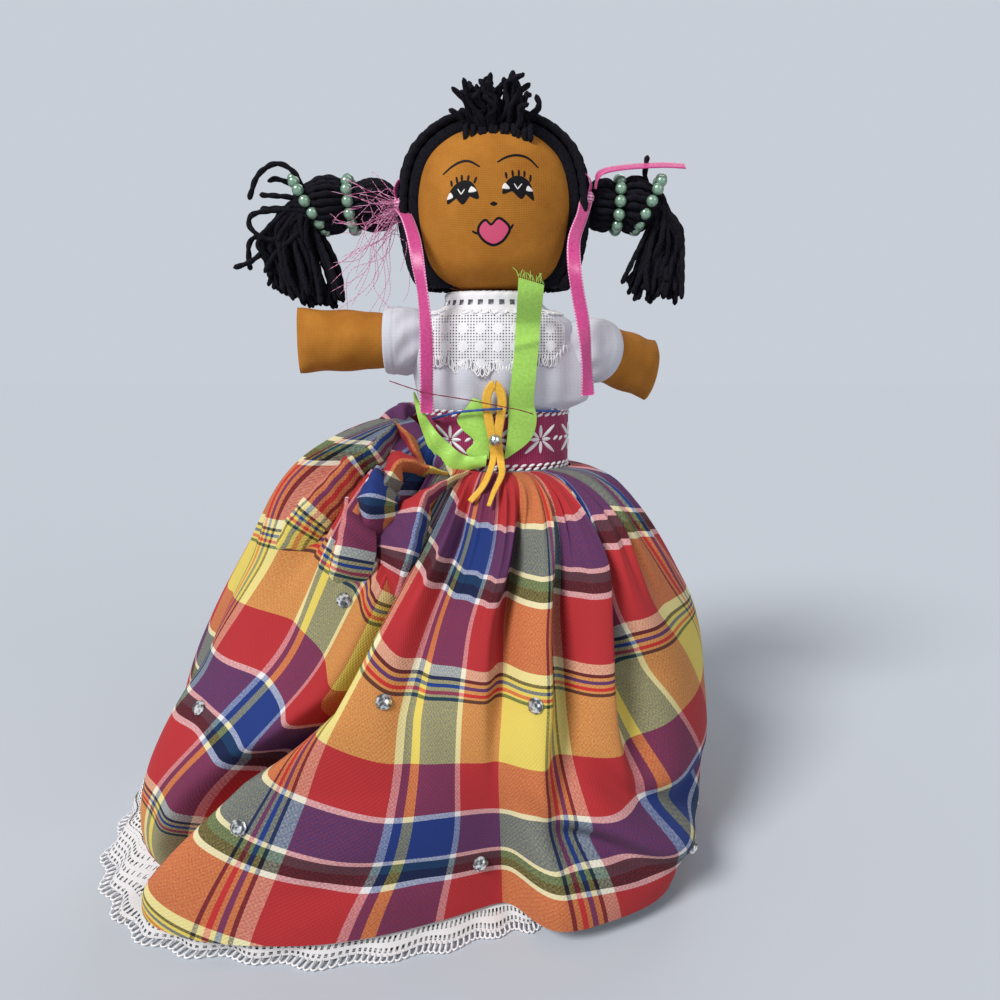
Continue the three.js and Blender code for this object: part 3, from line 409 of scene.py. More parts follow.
# How far the hem is pushed out of the plain bell, by direction: the front falls back between two lobes
HEM_PUSH = (
    (0, 0), (180, 0), (205, 0), (219, 2), (229, -4), (244, -9), (257, -14), (270, -15), (274, -14),
    (277, -4), (280, 8), (286, 12), (301, 12), (309, 9), (322, -2), (340, 0), (360, 0),
)
lift = bump(turns, 203, 27)
hem_push = np.interp(turns % 360, *np.transpose(HEM_PUSH))
out = bell(turns, shares) + 9 * lift * (1 - shares) ** 4 + soften(hem_push, 8, 1) * ease(shares, 0.5, 0.94)
out = out + soften(fold_heights(widths, shares), 2, 1)
out = out + 1.7 * gathers * ease(shares, 0, 0.05) * (1 - ease(shares, 0.08, 0.36))
height = (SKIRT_TOP + BUNCH_RISE * lift) * (1 - shares)
turn = np.radians(turns)
plaid_points = side_by_side(out * np.cos(turn), out * np.sin(turn), height)
plaid_cloth = side_by_side(widths, seam_take + cloth_rate * shares)

# Madras cotton: dyed yarns about half a millimetre apart, so each block is a fine mix of its two yarn
# colours. The sett repeats every 133 mm across and 109 mm down. The weave is drawn at 0.9 mm, or it would
# not show; slubs are 0.8 mm long and worn patches about 45 mm wide.
WARP = (
    (24, "d8c25c"), (1.9, "221f22"), (1.9, "d8c25c"), (1.9, "c8342c"), (1.9, "d8c25c"), (1.9, "1f3c80"),
    (1.9, "d8c25c"), (1.9, "221f22"), (5, "e4dcae"), (28, "ac2c30"), (4, "dcd8d6"), (3.7, "1d3474"),
    (5.3, "d8c25c"), (22, "1d3474"), (3.1, "dcd8d6"), (24.7, "ac2c30"),
)
WEFT = (
    (20, "ac2c30"), (2, "dcd8d6"), (16, "1d3474"), (2, "dcd8d6"), (3.5, "0e3440"), (3.6, "0a0c18"),
    (2, "dcd8d6"), (24, "ac2c30"), (4, "e4dcae"), (1.3, "221f22"), (1.2, "d8c25c"), (1.2, "1f3c80"),
    (1.2, "d8c25c"), (1.2, "c8342c"), (1.2, "d8c25c"), (1.3, "1d3a24"), (23.5, "d8c25c"),
)
WARP_START = -12.0
WEFT_START = 18.4
madras, tree, shader = new_material(
    "madras plain weave cotton", "b03028", 0.82, Sheen_Weight=0.04, Specular_IOR_Level=0.2,
)
place = add(tree, "UVMap", uv_map="cloth")
apart = add(tree, "SeparateXYZ", {0: place})
yarn_colours = []
for k, (sett, start) in enumerate(((WARP, WARP_START), (WEFT, WEFT_START))):
    repeat = sum(width for width, _ in sett)
    edges = np.cumsum([0] + [width for width, _ in sett]) / repeat
    begun = add(tree, "Math", {0: apart.outputs[k]}, operation="SUBTRACT", in1=start * MM)
    counted = add(tree, "Math", {0: begun}, operation="DIVIDE", in1=repeat * MM)
    within = add(tree, "Math", {0: counted}, operation="FRACT")
    stripes = [(edge, colour) for edge, (_, colour) in zip(edges, sett)]
    ramp = add(tree, "ValToRGB", {0: within}, stops=stripes)
    ramp.color_ramp.interpolation = "CONSTANT"
    yarn_colours.append(add(tree, "Gamma", {0: ramp}, Gamma=1 / 2.2))
MADRAS_YARN = 0.9
waves = []
for k in (0, 1):
    angle = add(tree, "Math", {0: apart.outputs[k]}, operation="MULTIPLY", in1=math.pi / (MADRAS_YARN * MM))
    waves.append(add(tree, "Math", {0: angle}, operation="SINE"))
crossing = add(tree, "Math", {0: waves[0], 1: waves[1]}, operation="MULTIPLY")
slub = add(tree, "TexNoise", {"Vector": place}, Scale=1.3 / MM, Detail=3.0, Roughness=0.7)
speckled = add(tree, "Math", {0: slub}, operation="MULTIPLY_ADD", in1=0.9, in2=0.13)
share_of_warp = add(tree, "Math", {0: crossing, 2: speckled}, operation="MULTIPLY_ADD", in1=0.07)
woven = add(tree, "Mix", {0: share_of_warp, 6: yarn_colours[0], 7: yarn_colours[1]}, data_type="RGBA")
faded = add(tree, "TexNoise", {"Vector": place}, Scale=0.022 / MM, Detail=2.0)
worn = add(tree, "MapRange", {0: faded}, in1=0.3, in2=0.7, in3=0.86, in4=0.99)
settled = add(tree, "Gamma", {0: woven.outputs[2]}, Gamma=2.2)
add(tree, "VectorMath", {0: settled, 1: worn}, shader.inputs["Base Color"], operation="MULTIPLY")
add(tree, "Bump", {"Height": crossing}, shader.inputs["Normal"], Strength=0.22, Distance=0.3 * MM)

# Folds bunched up at the left hip: spots on each crest (across, back, height) with the run-out of its upper
# or left side and of its lower or right side; then its depth, the cloth's width and length at its start, and
# which way that width runs
HIP_FOLDS = (
    (
        (
            (-30, -10, 181, 3, 4), (-33.5, -14, 188.5, 4, 8), (-39, -18.5, 191.5, 5, 14),
            (-44.5, -20, 189, 5, 15), (-50, -23, 184.5, 5, 14), (-61.9, -34, 173.3, 5, 12),
            (-72.7, -39, 163.8, 5, 9), (-84, -42, 150, 4, 6),
        ),
        7, 46, 30.4, 1,
    ),
    (
        (
            (-41.5, -30.5, 185.2, 1.5, 2), (-47.5, -36.4, 179.8, 2.5, 5), (-52.4, -39.3, 175.3, 3, 6),
            (-60.4, -42.1, 170.5, 5, 7), (-69.3, -46.5, 160.7, 8, 9), (-79.2, -50.5, 149.9, 9, 10),
            (-86, -52.5, 140, 9, 10), (-93, -50, 128, 6, 7),
        ),
        8, 23, 41.4, -1,
    ),
    (
        (
            (-42, -30.5, 185.4, 2, 1.5), (-36.5, -34, 180.8, 3, 2), (-32.8, -35.5, 173.7, 3, 2),
            (-28.5, -34, 165, 2, 1.5),
        ),
        8, -10, 68.4, 1,
    ),
    (
        (
            (-19, -32.5, 163.6, 2, 1), (-27.9, -36.5, 166.6, 6, 1.6), (-35.6, -41.8, 170, 10, 1.8),
            (-38.9, -44.6, 169.3, 10, 1.8), (-42.2, -47.8, 164.7, 8, 2), (-46.8, -46.5, 156.5, 6, 2),
            (-49.1, -42.7, 151.6, 4, 2),
        ),
        10, -10, 118.4, 1,
    ),
    (
        (
            (-48.9, -38.2, 168, 5, 5), (-49.2, -48.5, 163.8, 8.5, 8.5), (-49.8, -54.5, 157.4, 9.5, 9),
            (-51, -54.5, 149.1, 9, 9), (-52.8, -49.5, 138.3, 6, 8),
        ),
        10, 79, 38.4, -1,
    ),
    (
        (
            (-10.5, -29.3, 164.2, 2, 1), (-18.4, -37.1, 161.9, 4, 1.6), (-25.2, -44.4, 158.9, 7, 2),
            (-28.3, -49.4, 156.1, 12, 2.2), (-29.8, -54.3, 149.9, 17, 2.4),
            (-31.1, -57.7, 144.2, 19, 2.6), (-33, -62, 136.5, 19, 3), (-35.7, -64, 128, 17, 3.5),
            (-38.5, -63, 118, 14, 5),
        ),
        9, 60, 5.4, 1,
    ),
    (
        (
            (-61.5, -42, 156, 2, 5), (-60.6, -55, 148.2, 4, 11), (-61.3, -60.5, 140.3, 5, 13),
            (-63.3, -62.5, 131.5, 6, 13), (-66.6, -60.6, 121.7, 6, 10),
        ),
        8, 94.8, 65.4, -1,
    ),
)
FOLD_ACROSS = np.linspace(-1, 1, 37)
TOWARDS_LIGHT = np.array([-0.12, -0.83, 0.54])


def hip_fold(spots, deep, width, length, way):
    """A fold under its crest line, both sides dropping back into the bunch, with its cloth places."""
    line = through(spots, 14 * len(spots))
    ahead = unit(np.gradient(line[:, :3], axis=0))
    face = unit(TOWARDS_LIGHT - ahead * (ahead @ TOWARDS_LIGHT)[:, None])
    side = np.cross(ahead, face)
    gone = gone_along(line[:, :3])
    across = FOLD_ACROSS * np.where(FOLD_ACROSS > 0, line[:, 3:4], line[:, 4:5])
    sunk = deep * np.abs(FOLD_ACROSS) ** 1.7 + 0.35 * np.sin(0.7 * gone[:, None] + 0.5 * across + length)
    points = line[:, None, :3] + across[..., None] * side[:, None] - sunk[..., None] * face[:, None]
    steps = np.hypot(np.diff(across, axis=1), np.diff(sunk, axis=1))
    arc = np.concatenate([np.zeros((len(line), 1)), np.cumsum(steps, axis=1)], axis=1)
    arc = arc - arc[:, len(FOLD_ACROSS) // 2, None]
    cloth = side_by_side(width - way * arc, length + gone[:, None])
    return points, grid(len(line), len(FOLD_ACROSS)), cloth


hip_folds = [hip_fold(*row) for row in HIP_FOLDS]
skirt_parts = [(plaid_points, grid(PLAID_ROWS, PLAID_COLUMNS))] + [
    (points, faces) for points, faces, _ in hip_folds
]
skirt_cloth = np.concatenate(
    [plaid_cloth.reshape(-1, 2)] + [cloth.reshape(-1, 2) for _, _, cloth in hip_folds]
)
plaid_skirt = piece("plaid_skirt_cloth", *joined(skirt_parts), madras, skirt_cloth * MM)
dress(plaid_skirt, "plaid_skirt", "body")


# Stuffed bodies: torsos, arms and heads of mustard brown cotton, machine sewn, turned and filled with
# wadding. Two halves are sewn together at the waist; the lower one is the same doll upside down, hidden
# under the skirts.
def loft(stations, rows, columns):
    """Points of a stuffed form from (half width, half depth, height) stations, drawn in at both ends."""
    sections = through(stations, rows)
    turn = np.linspace(0, 2 * np.pi, columns, endpoint=False)
    x = sections[:, :1] * np.cos(turn)
    y = sections[:, 1:2] * np.sin(turn)
    return side_by_side(x, y, sections[:, 2:])


def halves(curve, rise):
    """Half width and half depth of a stuffed form at a height."""
    return (np.interp(rise, curve[:, 2], curve[:, k]) for k in (0, 1))


def flipped(points):
    """The same points on the half that hangs head down: half a turn about the waist's middle."""
    return np.asarray(points, float) * (-1, 1, -1) + (0, 0, 2 * WAIST_HEIGHT)


def on_half(points, half):
    """Points of the upper half as they are, or turned over for the lower one."""
    return flipped(points) if half == "lower" else points


WAIST_HEIGHT = 176.0
TORSO_STATIONS = (
    (0.05, 0.05, 0.2), (24, 15, 0.4), (30, 21, 1.5), (31, 21.5, 12.8), (34.5, 22.5, 28.2), (36, 23, 42.2),
    (33, 20.5, 51.8), (20.5, 17, 57.6), (19, 16, 63), (15, 12, 63.9), (0.05, 0.05, 64),
)
HEAD_BASE = 240.3
HEAD_HALF = (34.0, 27.5)
HEAD_LENGTH = 68.0
HEAD_SHARES = (
    (0.002, 0.002, 0), (0.36, 0.36, 0.004), (0.63, 0.63, 0.035), (0.86, 0.88, 0.15), (0.985, 0.985, 0.38),
    (1, 1, 0.6), (0.88, 0.9, 0.8), (0.6, 0.62, 0.935), (0.25, 0.26, 0.995), (0.002, 0.002, 1),
)
ARM_STATIONS = (
    (0.05, 0.05, -11.9), (6.5, 6.5, -10), (10.8, 10.8, -5), (12, 12, 0), (13.2, 12.2, 12), (13.6, 12.3, 24),
    (14, 10.2, 33), (14.3, 6.8, 38.2), (14.2, 5.2, 39.8), (13.2, 3.8, 40.4), (0.05, 0.05, 40.5),
)
SHOULDER = (47.99, 43.0)
# Side of its own half, droop, swing and sag of each shoulder; the lower arms hang towards the floor
ARMS = {
    "upper_left": (-1, 0, 0, 0), "upper_right": (1, 13, 45, 5.0),
    "lower_left": (1, -70, 0, 0), "lower_right": (-1, -70, 0, 0),
}


def egg(margin):
    """Stations of a head, or of a layer grown round it."""
    return [
        ((HEAD_HALF[0] + margin) * w, (HEAD_HALF[1] + margin) * d, (HEAD_LENGTH + 2 * margin) * h - margin)
        for w, d, h in HEAD_SHARES
    ]


def along_arm(points, key, bent=1.0):
    """Points of a form that stands on +Z, turned to lie along an arm from its shoulder, or part way."""
    side, droop, swing, sag = ARMS[key]
    droop, swing = droop * bent, swing * bent
    tip = side * (math.pi / 2 + math.radians(droop))
    spin = side * math.radians(swing)
    p = np.asarray(points, float)
    x = p[..., 0] * math.cos(tip) + p[..., 2] * math.sin(tip)
    z = p[..., 2] * math.cos(tip) - p[..., 0] * math.sin(tip)
    x, y = x * math.cos(spin) - p[..., 1] * math.sin(spin), x * math.sin(spin) + p[..., 1] * math.cos(spin)
    moved = side_by_side(x + side * SHOULDER[0], y, z + SHOULDER[1] - sag + WAIST_HEIGHT)
    return on_half(moved, key.split("_")[0])


# Brown cotton: plain weave of yarns 0.35 mm apart, drawn at 0.7 mm or it would not show; matt, a little
# uneven in colour in patches about 17 mm wide
brown_cotton, tree, shader = new_material("mustard brown cotton", "ad6f2a", 0.9, Specular_IOR_Level=0.15)
place = add(tree, "TexCoord")
COTTON_YARN = 0.7
threads = []
for direction in ("X", "Z"):
    wave = add(
        tree, "TexWave", {"Vector": place.outputs["Object"]},
        bands_direction=direction, Scale=math.pi / 10 / (COTTON_YARN * MM),
        Distortion=0.6, Detail=2.0, Detail_Scale=2.0,
    )
    threads.append(wave)
weave = add(tree, "Math", {0: threads[0].outputs[1], 1: threads[1].outputs[1]}, operation="ADD")
cloud = add(
    tree, "TexNoise", {"Vector": place.outputs["Object"]}, Scale=0.06 / MM, Detail=4.0, Roughness=0.65,
)
shade = add(tree, "Math", {0: weave, 2: cloud}, operation="MULTIPLY_ADD", in1=0.15)
COTTON_TINTS = ((0.4, "9b6121"), (1.0, "bc7d31"))
add(tree, "ValToRGB", {0: shade}, shader.inputs["Base Color"], COTTON_TINTS)
add(tree, "Bump", {"Height": weave}, shader.inputs["Normal"], Strength=0.25, Distance=0.3 * MM)


def stuffed(node, points, body):
    """A stuffed piece in place of its plain solid, riding its body."""
    rows, columns = points.shape[:2]
    obj = piece(node + "_cloth", points, grid(rows, columns, True), brown_cotton)
    dress(obj, node, body)


torso_points = loft(TORSO_STATIONS, 60, 64) + (0, 0, WAIST_HEIGHT)
for half in ("upper", "lower"):
    stuffed("torso_" + half, on_half(torso_points, half), "body")

# Each head is an egg, fullest a little above its middle, with a flat chin
head_points = loft(egg(0), 90, 120) + (0, 0, HEAD_BASE)
for half in ("upper", "lower"):
    stuffed("head_" + half, on_half(head_points, half), "head_" + half)

# The arms are tubes pressed flat at a straight end seam, with a few creases where the filling is thin
for key in ARMS:
    arm_points = loft(ARM_STATIONS, 56, 56)
    across = np.arctan2(arm_points[..., 1], arm_points[..., 0])
    reach = arm_points[..., 2]
    dent = 0.32 * np.sin(reach * 0.31 + 2 * np.sin(across * 2 + len(key))) * ease(reach, 4, 12)
    arm_points = arm_points * side_by_side(1 - dent / 14, 1 - dent / 12, 1)
    stuffed("arm_" + key, along_arm(arm_points, key), "arm_" + key)


# Painted face: brows, lashed eyes, nose and mouth, drawn by hand with a fine brush on the sewn head.
# The paint is a thin film on the cloth; the mouth is filled in pink and outlined in black.
head_curve = through(egg(0), 400)


def on_face(x, z, proud):
    """The point of the head's front over (x, z), z measured from the head's base."""
    half_width, half_depth = halves(head_curve, z)
    y = -half_depth * np.sqrt(np.maximum(1 - (x / half_width) ** 2, 0.01))
    return side_by_side(x, y - proud, z + HEAD_BASE)


def filled(outline, proud):
    """A painted patch inside an outline, as rings that close in on its middle."""
    edge = through(outline, 8 * len(outline), True)
    middle = edge.mean(axis=0)
    rings = np.array([middle + (edge - middle) * share for share in (0.02, 0.3, 0.6, 0.85, 1.0)])
    points = on_face(rings[..., 0], rings[..., 1], proud)
    points[-1] = on_face(edge[:, 0], edge[:, 1], 0.02)
    return points.reshape(-1, 3), grid(len(rings), len(edge), True)


def stroke(line, width, proud, is_closed=False):
    """A painted line: it swells from its ends and lies across the cloth as a low ridge."""
    path = through(line, 7 * len(line), is_closed)
    if is_closed:
        path = np.concatenate([path, path[:1]])
    ahead = np.gradient(path, axis=0)
    side = unit(side_by_side(-ahead[:, 1], ahead[:, 0]))
    swell = 1.0 if is_closed else 0.55 + 0.45 * np.sin(np.linspace(0.15, np.pi - 0.15, len(path)))
    spread = side * (width / 2 * swell * np.ones(len(path)))[:, None]
    lanes = np.array([path - spread, path, path + spread])
    points = on_face(lanes[..., 0], lanes[..., 1], proud)
    points[0] = on_face(lanes[0, :, 0], lanes[0, :, 1], 0.02)
    points[2] = on_face(lanes[2, :, 0], lanes[2, :, 1], 0.02)
    return points.reshape(-1, 3), grid(3, len(path))


BROWS = (
    ((-20.8, 45.6), (-16.8, 48.5), (-12.8, 50.1), (-9.4, 49.9), (-5.5, 47.7)),
    ((1.6, 49.4), (5.3, 51.5), (9.8, 52.5), (14.3, 51.5), (18.4, 48.1)),
)
EYES = (
    (
        (-19.2, 34.8), (-17.5, 39.1), (-14.6, 41.8), (-11.7, 42.6), (-8.9, 41.8), (-6.9, 39.1),
        (-5.8, 35.6), (-7.5, 35.3), (-8.9, 37), (-12.5, 33.2), (-16.1, 36.2), (-18.4, 33.7),
    ),
    (
        (3.6, 38), (5.3, 41.8), (7.6, 43.7), (10.4, 44.4), (13.2, 43.4), (15.2, 41.3), (16.7, 35.9),
        (16, 35.1), (14.1, 38), (11.3, 35.3), (6.9, 38.6), (4.4, 37),
    ),
)
WHITES = (
    ((-19.1, 35.5), (-17.7, 38.2), (-16.5, 36.2)), ((-10.2, 37.8), (-8.9, 40.2), (-6.8, 38.2)),
    ((3.6, 39.2), (4.8, 41.3), (6.8, 39.1)), ((13.4, 38.6), (14.2, 40.7), (16.2, 38.6)),
)
GLINTS = (
    ((-14.6, 39.4), (-13.2, 37.2), (-11.7, 39.2)),
    ((8.4, 41.2), (9.9, 39.1), (11.6, 41.3)),
)
LASHES = (
    ((-17.3, 42.9), (-17, 40.5)), ((-15.1, 44.2), (-14.7, 41.5)), ((-12.9, 44.8), (-12.8, 42.1)),
    ((-10, 44.5), (-10.4, 42.1)), ((-6.8, 43.7), (-7.8, 41.3)), ((5, 45.6), (5.4, 43)),
    ((7.7, 46.4), (8, 43.7)), ((10.3, 46.6), (10.4, 44.1)), ((12.7, 46.4), (12.6, 44)),
    ((15.2, 45), (15, 42.2)),
)
LIPS = (
    (-6.2, 22.8), (-5.6, 25), (-3.3, 26.9), (-0.9, 25.1), (2, 27.6), (4.9, 26.2), (6.6, 23.9), (5.8, 21.6),
    (3.6, 18.9), (0.1, 17.4), (-3.3, 18.7), (-5.5, 21),
)
MOUTH_TICKS = (((-8.8, 22.8), (-7, 22), (-6, 22.4)), ((6.4, 23.4), (7.3, 24.2), (8.2, 25.5)))
NOSE = ((-1.3, 33.4), (0, 34.1), (1.6, 33.5), (1.2, 32.7), (0, 32.4), (-1.0, 32.8))
black_paint = [stroke(brow, 1.05, 0.1) for brow in BROWS]
black_paint += [filled(eye, 0.09) for eye in EYES]
black_paint += [stroke(lash, 1.0, 0.1) for lash in LASHES]
black_paint += [stroke(LIPS, 1.25, 0.13, True), filled(NOSE, 0.1)]
black_paint += [stroke(tick, 1.0, 0.1) for tick in MOUTH_TICKS]
white_paint = [filled(white, 0.16) for white in WHITES]
white_paint += [stroke((a, b), 0.85, 0.16) for glint in GLINTS for a, b in (glint[:2], glint[1:])]
pink_paint = [filled(LIPS, 0.08)]
# Fabric paint: a dull film that follows the weave beneath it, its brush marks 0.7 mm apart
for word, colour, parts in (
    ("black", "120f14", black_paint), ("white", "e6e2dc", white_paint), ("pink", "cf5274", pink_paint),
):
    paint, tree, shader = new_material(word + " fabric paint", colour, 0.7, Specular_IOR_Level=0.15)
    place = add(tree, "TexCoord")
    weave = add(tree, "TexNoise", {"Vector": place.outputs["Object"]}, Scale=1.4 / MM, Detail=2.0)
    add(tree, "Bump", {"Height": weave}, shader.inputs["Normal"], Strength=0.3, Distance=0.2 * MM)
    points, faces = joined(parts)
    for half in ("upper", "lower"):
        film = piece(f"face_{word}_{half}", on_half(points, half), faces, paint)
        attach(film, "head_" + half)


# Hair: black two-ply wool yarn 2.5 to 3.5 mm thick, laid in arcs round the face and stitched down over a
# cap of cloth. Pigtails are yarn bundles bound into two bulges; their cut ends hang as tassels, and a cut
# tuft stands on top.
yarn_chance = np.random.default_rng(11)
YARN_RADIUS = 1.35
YARN_PITCH = 5.5


def yarn(path, radius=YARN_RADIUS, sides=7, step=0.9):
    """One length of two-ply yarn along a path: a section of two lobes that turns as it goes."""
    rough = through(path, 24 * len(path))
    gone = gone_along(rough)
    count = max(int(gone[-1] / step), 6)
    where = np.linspace(0, gone[-1], count)
    line = np.stack([np.interp(where, gone, rough[:, k]) for k in range(3)], -1)
    ahead = unit(np.gradient(line, axis=0))
    up = np.cross(ahead[0], (0.31, 0.87, 0.38))
    ups = []
    for direction in ahead:
        up = unit(up - direction * up.dot(direction))
        ups.append(up)
    ups = np.array(ups)
    sides_way = np.cross(ahead, ups)
    spin = where * math.pi / YARN_PITCH + yarn_chance.uniform(0, 6)
    around = np.linspace(0, 2 * np.pi, sides, endpoint=False)
    lobes = radius * (0.72 + 0.34 * np.abs(np.cos(around - spin[:, None])))
    close = np.minimum(np.minimum(where, gone[-1] - where) / (0.8 * radius), 1)
    lobes = lobes * (0.35 + 0.65 * np.sqrt(close))[:, None]
    points = line[:, None] + (lobes * np.cos(around))[..., None] * ups[:, None]
    points = points + (lobes * np.sin(around))[..., None] * sides_way[:, None]
    ends = np.array([line[0], line[-1]])
    faces = grid(count, sides, True).tolist()
    last = (count - 1) * sides
    total = count * sides
    faces += [(total, (j + 1) % sides, j) for j in range(sides)]
    faces += [(total + 1, last + j, last + (j + 1) % sides) for j in range(sides)]
    return np.concatenate([points.reshape(-1, 3), ends]), faces


# Black wool yarn: dull, with fuzz 0.7 mm apart and a faint blue-grey sheen on the edges of the plies
wool, tree, shader = new_material(
    "black wool yarn", "18171d", 0.95, Sheen_Weight=0.1, Specular_IOR_Level=0.1,
)
shader.inputs["Sheen Tint"].default_value = linear("5a5c68")
place = add(tree, "TexCoord")
fuzz = add(tree, "TexNoise", {"Vector": place.outputs["Object"]}, Scale=1.5 / MM, Detail=3.0, Roughness=0.7)
WOOL_TINTS = ((0.35, "0b0a0f"), (0.75, "22212a"))
add(tree, "ValToRGB", {0: fuzz}, shader.inputs["Base Color"], WOOL_TINTS)
add(tree, "Bump", {"Height": fuzz}, shader.inputs["Normal"], Strength=0.7, Distance=0.4 * MM)

CAP_BED = 4.0
CAP_YARN = 6.4
CAP_FRONT = -17.0
CAP_BACK = 86.0
CAP_ARCS = 27
CAP_STRAND = 1.75


def cap_arc(turn, margin, count):
    """Where a layer round the head is cut by one upright plane across it; 0 is the ears, 90 the back."""
    section = through(egg(margin), 500)
    depth = (HEAD_HALF[1] + margin) * math.sin(math.radians(turn))
    rise = np.linspace(1.0, HEAD_LENGTH + margin, 900)
    half_width, half_depth = halves(section, rise)
    inside = half_depth > abs(depth) + 0.02
    rise = rise[inside]
    x = half_width[inside] * np.sqrt(1 - (depth / half_depth[inside]) ** 2)
    x = np.concatenate([-x, x[::-1]])
    z = np.concatenate([rise, rise[::-1]])
    gone = gone_along(side_by_side(x, z))
    where = np.linspace(0, gone[-1], count)
    return side_by_side(np.interp(where, gone, x), depth, np.interp(where, gone, z) + HEAD_BASE)


cap_turns = np.linspace(CAP_FRONT, CAP_BACK, CAP_ARCS)
cap_bed = np.array([cap_arc(turn, CAP_BED, 60) for turn in np.linspace(CAP_FRONT - 2, 89.5, 40)])
cap_edge = cap_arc(CAP_FRONT - 3, 0.2, 60)
cap_rows = np.concatenate([cap_edge[None], cap_bed])
cap_parts = [(cap_rows, grid(len(cap_rows), 60))]
for turn in cap_turns:
    layer = CAP_YARN + yarn_chance.uniform(-0.5, 0.4)
    cap_parts.append(yarn(cap_arc(turn + yarn_chance.uniform(-0.6, 0.6), layer, 30), CAP_STRAND, step=1.1))
# Upright strands close the cap where the arcs meet at the middle of the back
back_line = through(egg(CAP_YARN - 0.6), 200)
back_line = back_line[(back_line[:, 2] > 1) & (back_line[:, 2] < 62)][::8]
for x in (-7.5, -5, -2.5, 0, 2.5, 5, 7.5):
    depth = back_line[:, 1] * np.sqrt(1 - (x / np.maximum(back_line[:, 0], 9)) ** 2)
    sway = x + yarn_chance.normal(0, 0.15, len(depth))
    cap_parts.append(yarn(side_by_side(sway, depth, back_line[:, 2] + HEAD_BASE), CAP_STRAND, step=1.1))
cap_points, cap_faces = joined(cap_parts)
for half in ("upper", "lower"):
    cap = piece("hair_cap_yarn_" + half, on_half(cap_points, half), cap_faces, wool)
    dress(cap, "hair_cap_" + half, "head_" + half)

# The tuft: cut ends that fan from a stitched line over the forehead, the outer ones nearly level
TUFT_STRANDS = 58
FRINGE_STRANDS = 12
tuft_parts = []
for n in range(TUFT_STRANDS):
    across = yarn_chance.uniform(-1, 1)
    lean = across * 0.62 + yarn_chance.normal(0, 0.2)
    forward = yarn_chance.uniform(-1, 1)
    length = yarn_chance.uniform(15, 25) * (1 - 0.25 * abs(across))
    rise = HEAD_BASE + 64.5 - 2 * across**2 + yarn_chance.uniform(-2, 1)
    root = np.array([2 + 8.5 * across, -12.5 + 3.5 * forward, rise])
    way = unit(np.array([math.sin(lean), -0.2 + 0.3 * forward, math.cos(lean)]))
    curl = yarn_chance.normal(0, 2.6, 3) * (1, 0.6, 0.4)
    spots = [
        root + way * length * share + curl * bow
        for share, bow in ((0, 0), (0.4, 0.5), (0.75, -0.25), (1, 1))
    ]
    tuft_parts.append(yarn(spots, 1.2))
for n in range(FRINGE_STRANDS):
    x = 2 + 2.2 * (n - 5.5) + yarn_chance.uniform(-1, 1)
    root = np.array([x, -12.5, HEAD_BASE + 67])
    tip = np.array([x * 1.05, -18.2, HEAD_BASE + 60.5 + yarn_chance.uniform(-2.5, 1)])
    tuft_parts.append(yarn([root, (root + tip) / 2 + (0, -1.8, 1.4), tip], 1.3))
tuft = piece("hair_tuft_yarn", *joined(tuft_parts), wool)
dress(tuft, "hair_tuft", "head_upper")

PIGTAIL_PLACE = (6.0, 278.3)
# Distance from the axis and radius of the bundle, from the root outwards
PIGTAIL_PROFILE = (
    (39.5, 5.5), (43.5, 6.5), (49, 10.4), (55, 11.2), (60, 9.6), (63, 8.2), (66.5, 9.9), (71, 12.2),
    (77, 12.0), (83, 8.8), (86, 7.2), (89, 6.4),
)
# The right one was tied shorter
RIGHT_SHORTER = 0.7
BUNDLE_STRANDS = 22
TASSEL_STRANDS = 116


def round_pigtail(out_to, lay, spin):
    """Points round a pigtail's middle line, by distance out, distance off the line and direction."""
    y = PIGTAIL_PLACE[0] + lay * np.cos(spin)
    z = PIGTAIL_PLACE[1] + lay * np.sin(spin)
    return side_by_side(out_to, y, z)


# Loose ends of each tassel as they stand in the photograph, from root to tip: across, back and height
LEFT_ENDS = (
    ((-84, 4, 281), (-87, 2, 290.7), (-94.7, 1, 294.8), (-102.9, 0, 289.8), (-107.5, 0, 279.6)),
    ((-84, 6, 282), (-90, 5, 287), (-96, 4, 289), (-100, 4, 288)),
    ((-84, 2, 280), (-92, 0, 281), (-102.5, -1, 281.5)),
    ((-84, 3, 277), (-92, 2, 276.5), (-103, 1, 276)),
    ((-84, 1, 275), (-95, -1, 275), (-105, -2, 273.5), (-107.5, -2, 269), (-103, -2, 264), (-96, -1, 262)),
    ((-86, 4, 270), (-98, 2, 262), (-108, 1, 254), (-116.5, 1, 250.9)),
    ((-86, 5, 270), (-100, 4, 266), (-108.5, 3, 263), (-110, 3, 255), (-109.5, 3, 250)),
    ((-86, 0, 266), (-97, -2, 256), (-102, -2, 248.5)),
)
RIGHT_ENDS = (
    ((68, 2, 284), (66, 0, 290), (66.8, 0, 298)),
    ((71, 4, 272), (66, 2, 262), (61, 1, 252), (57.3, 1, 243.9)),
    ((72, 6, 271), (67, 4, 260), (63.5, 3, 250), (61, 3, 243)),
    ((72, 1, 270), (69, -1, 258), (67.5, -2, 248), (68.5, -2, 240.5)),
)
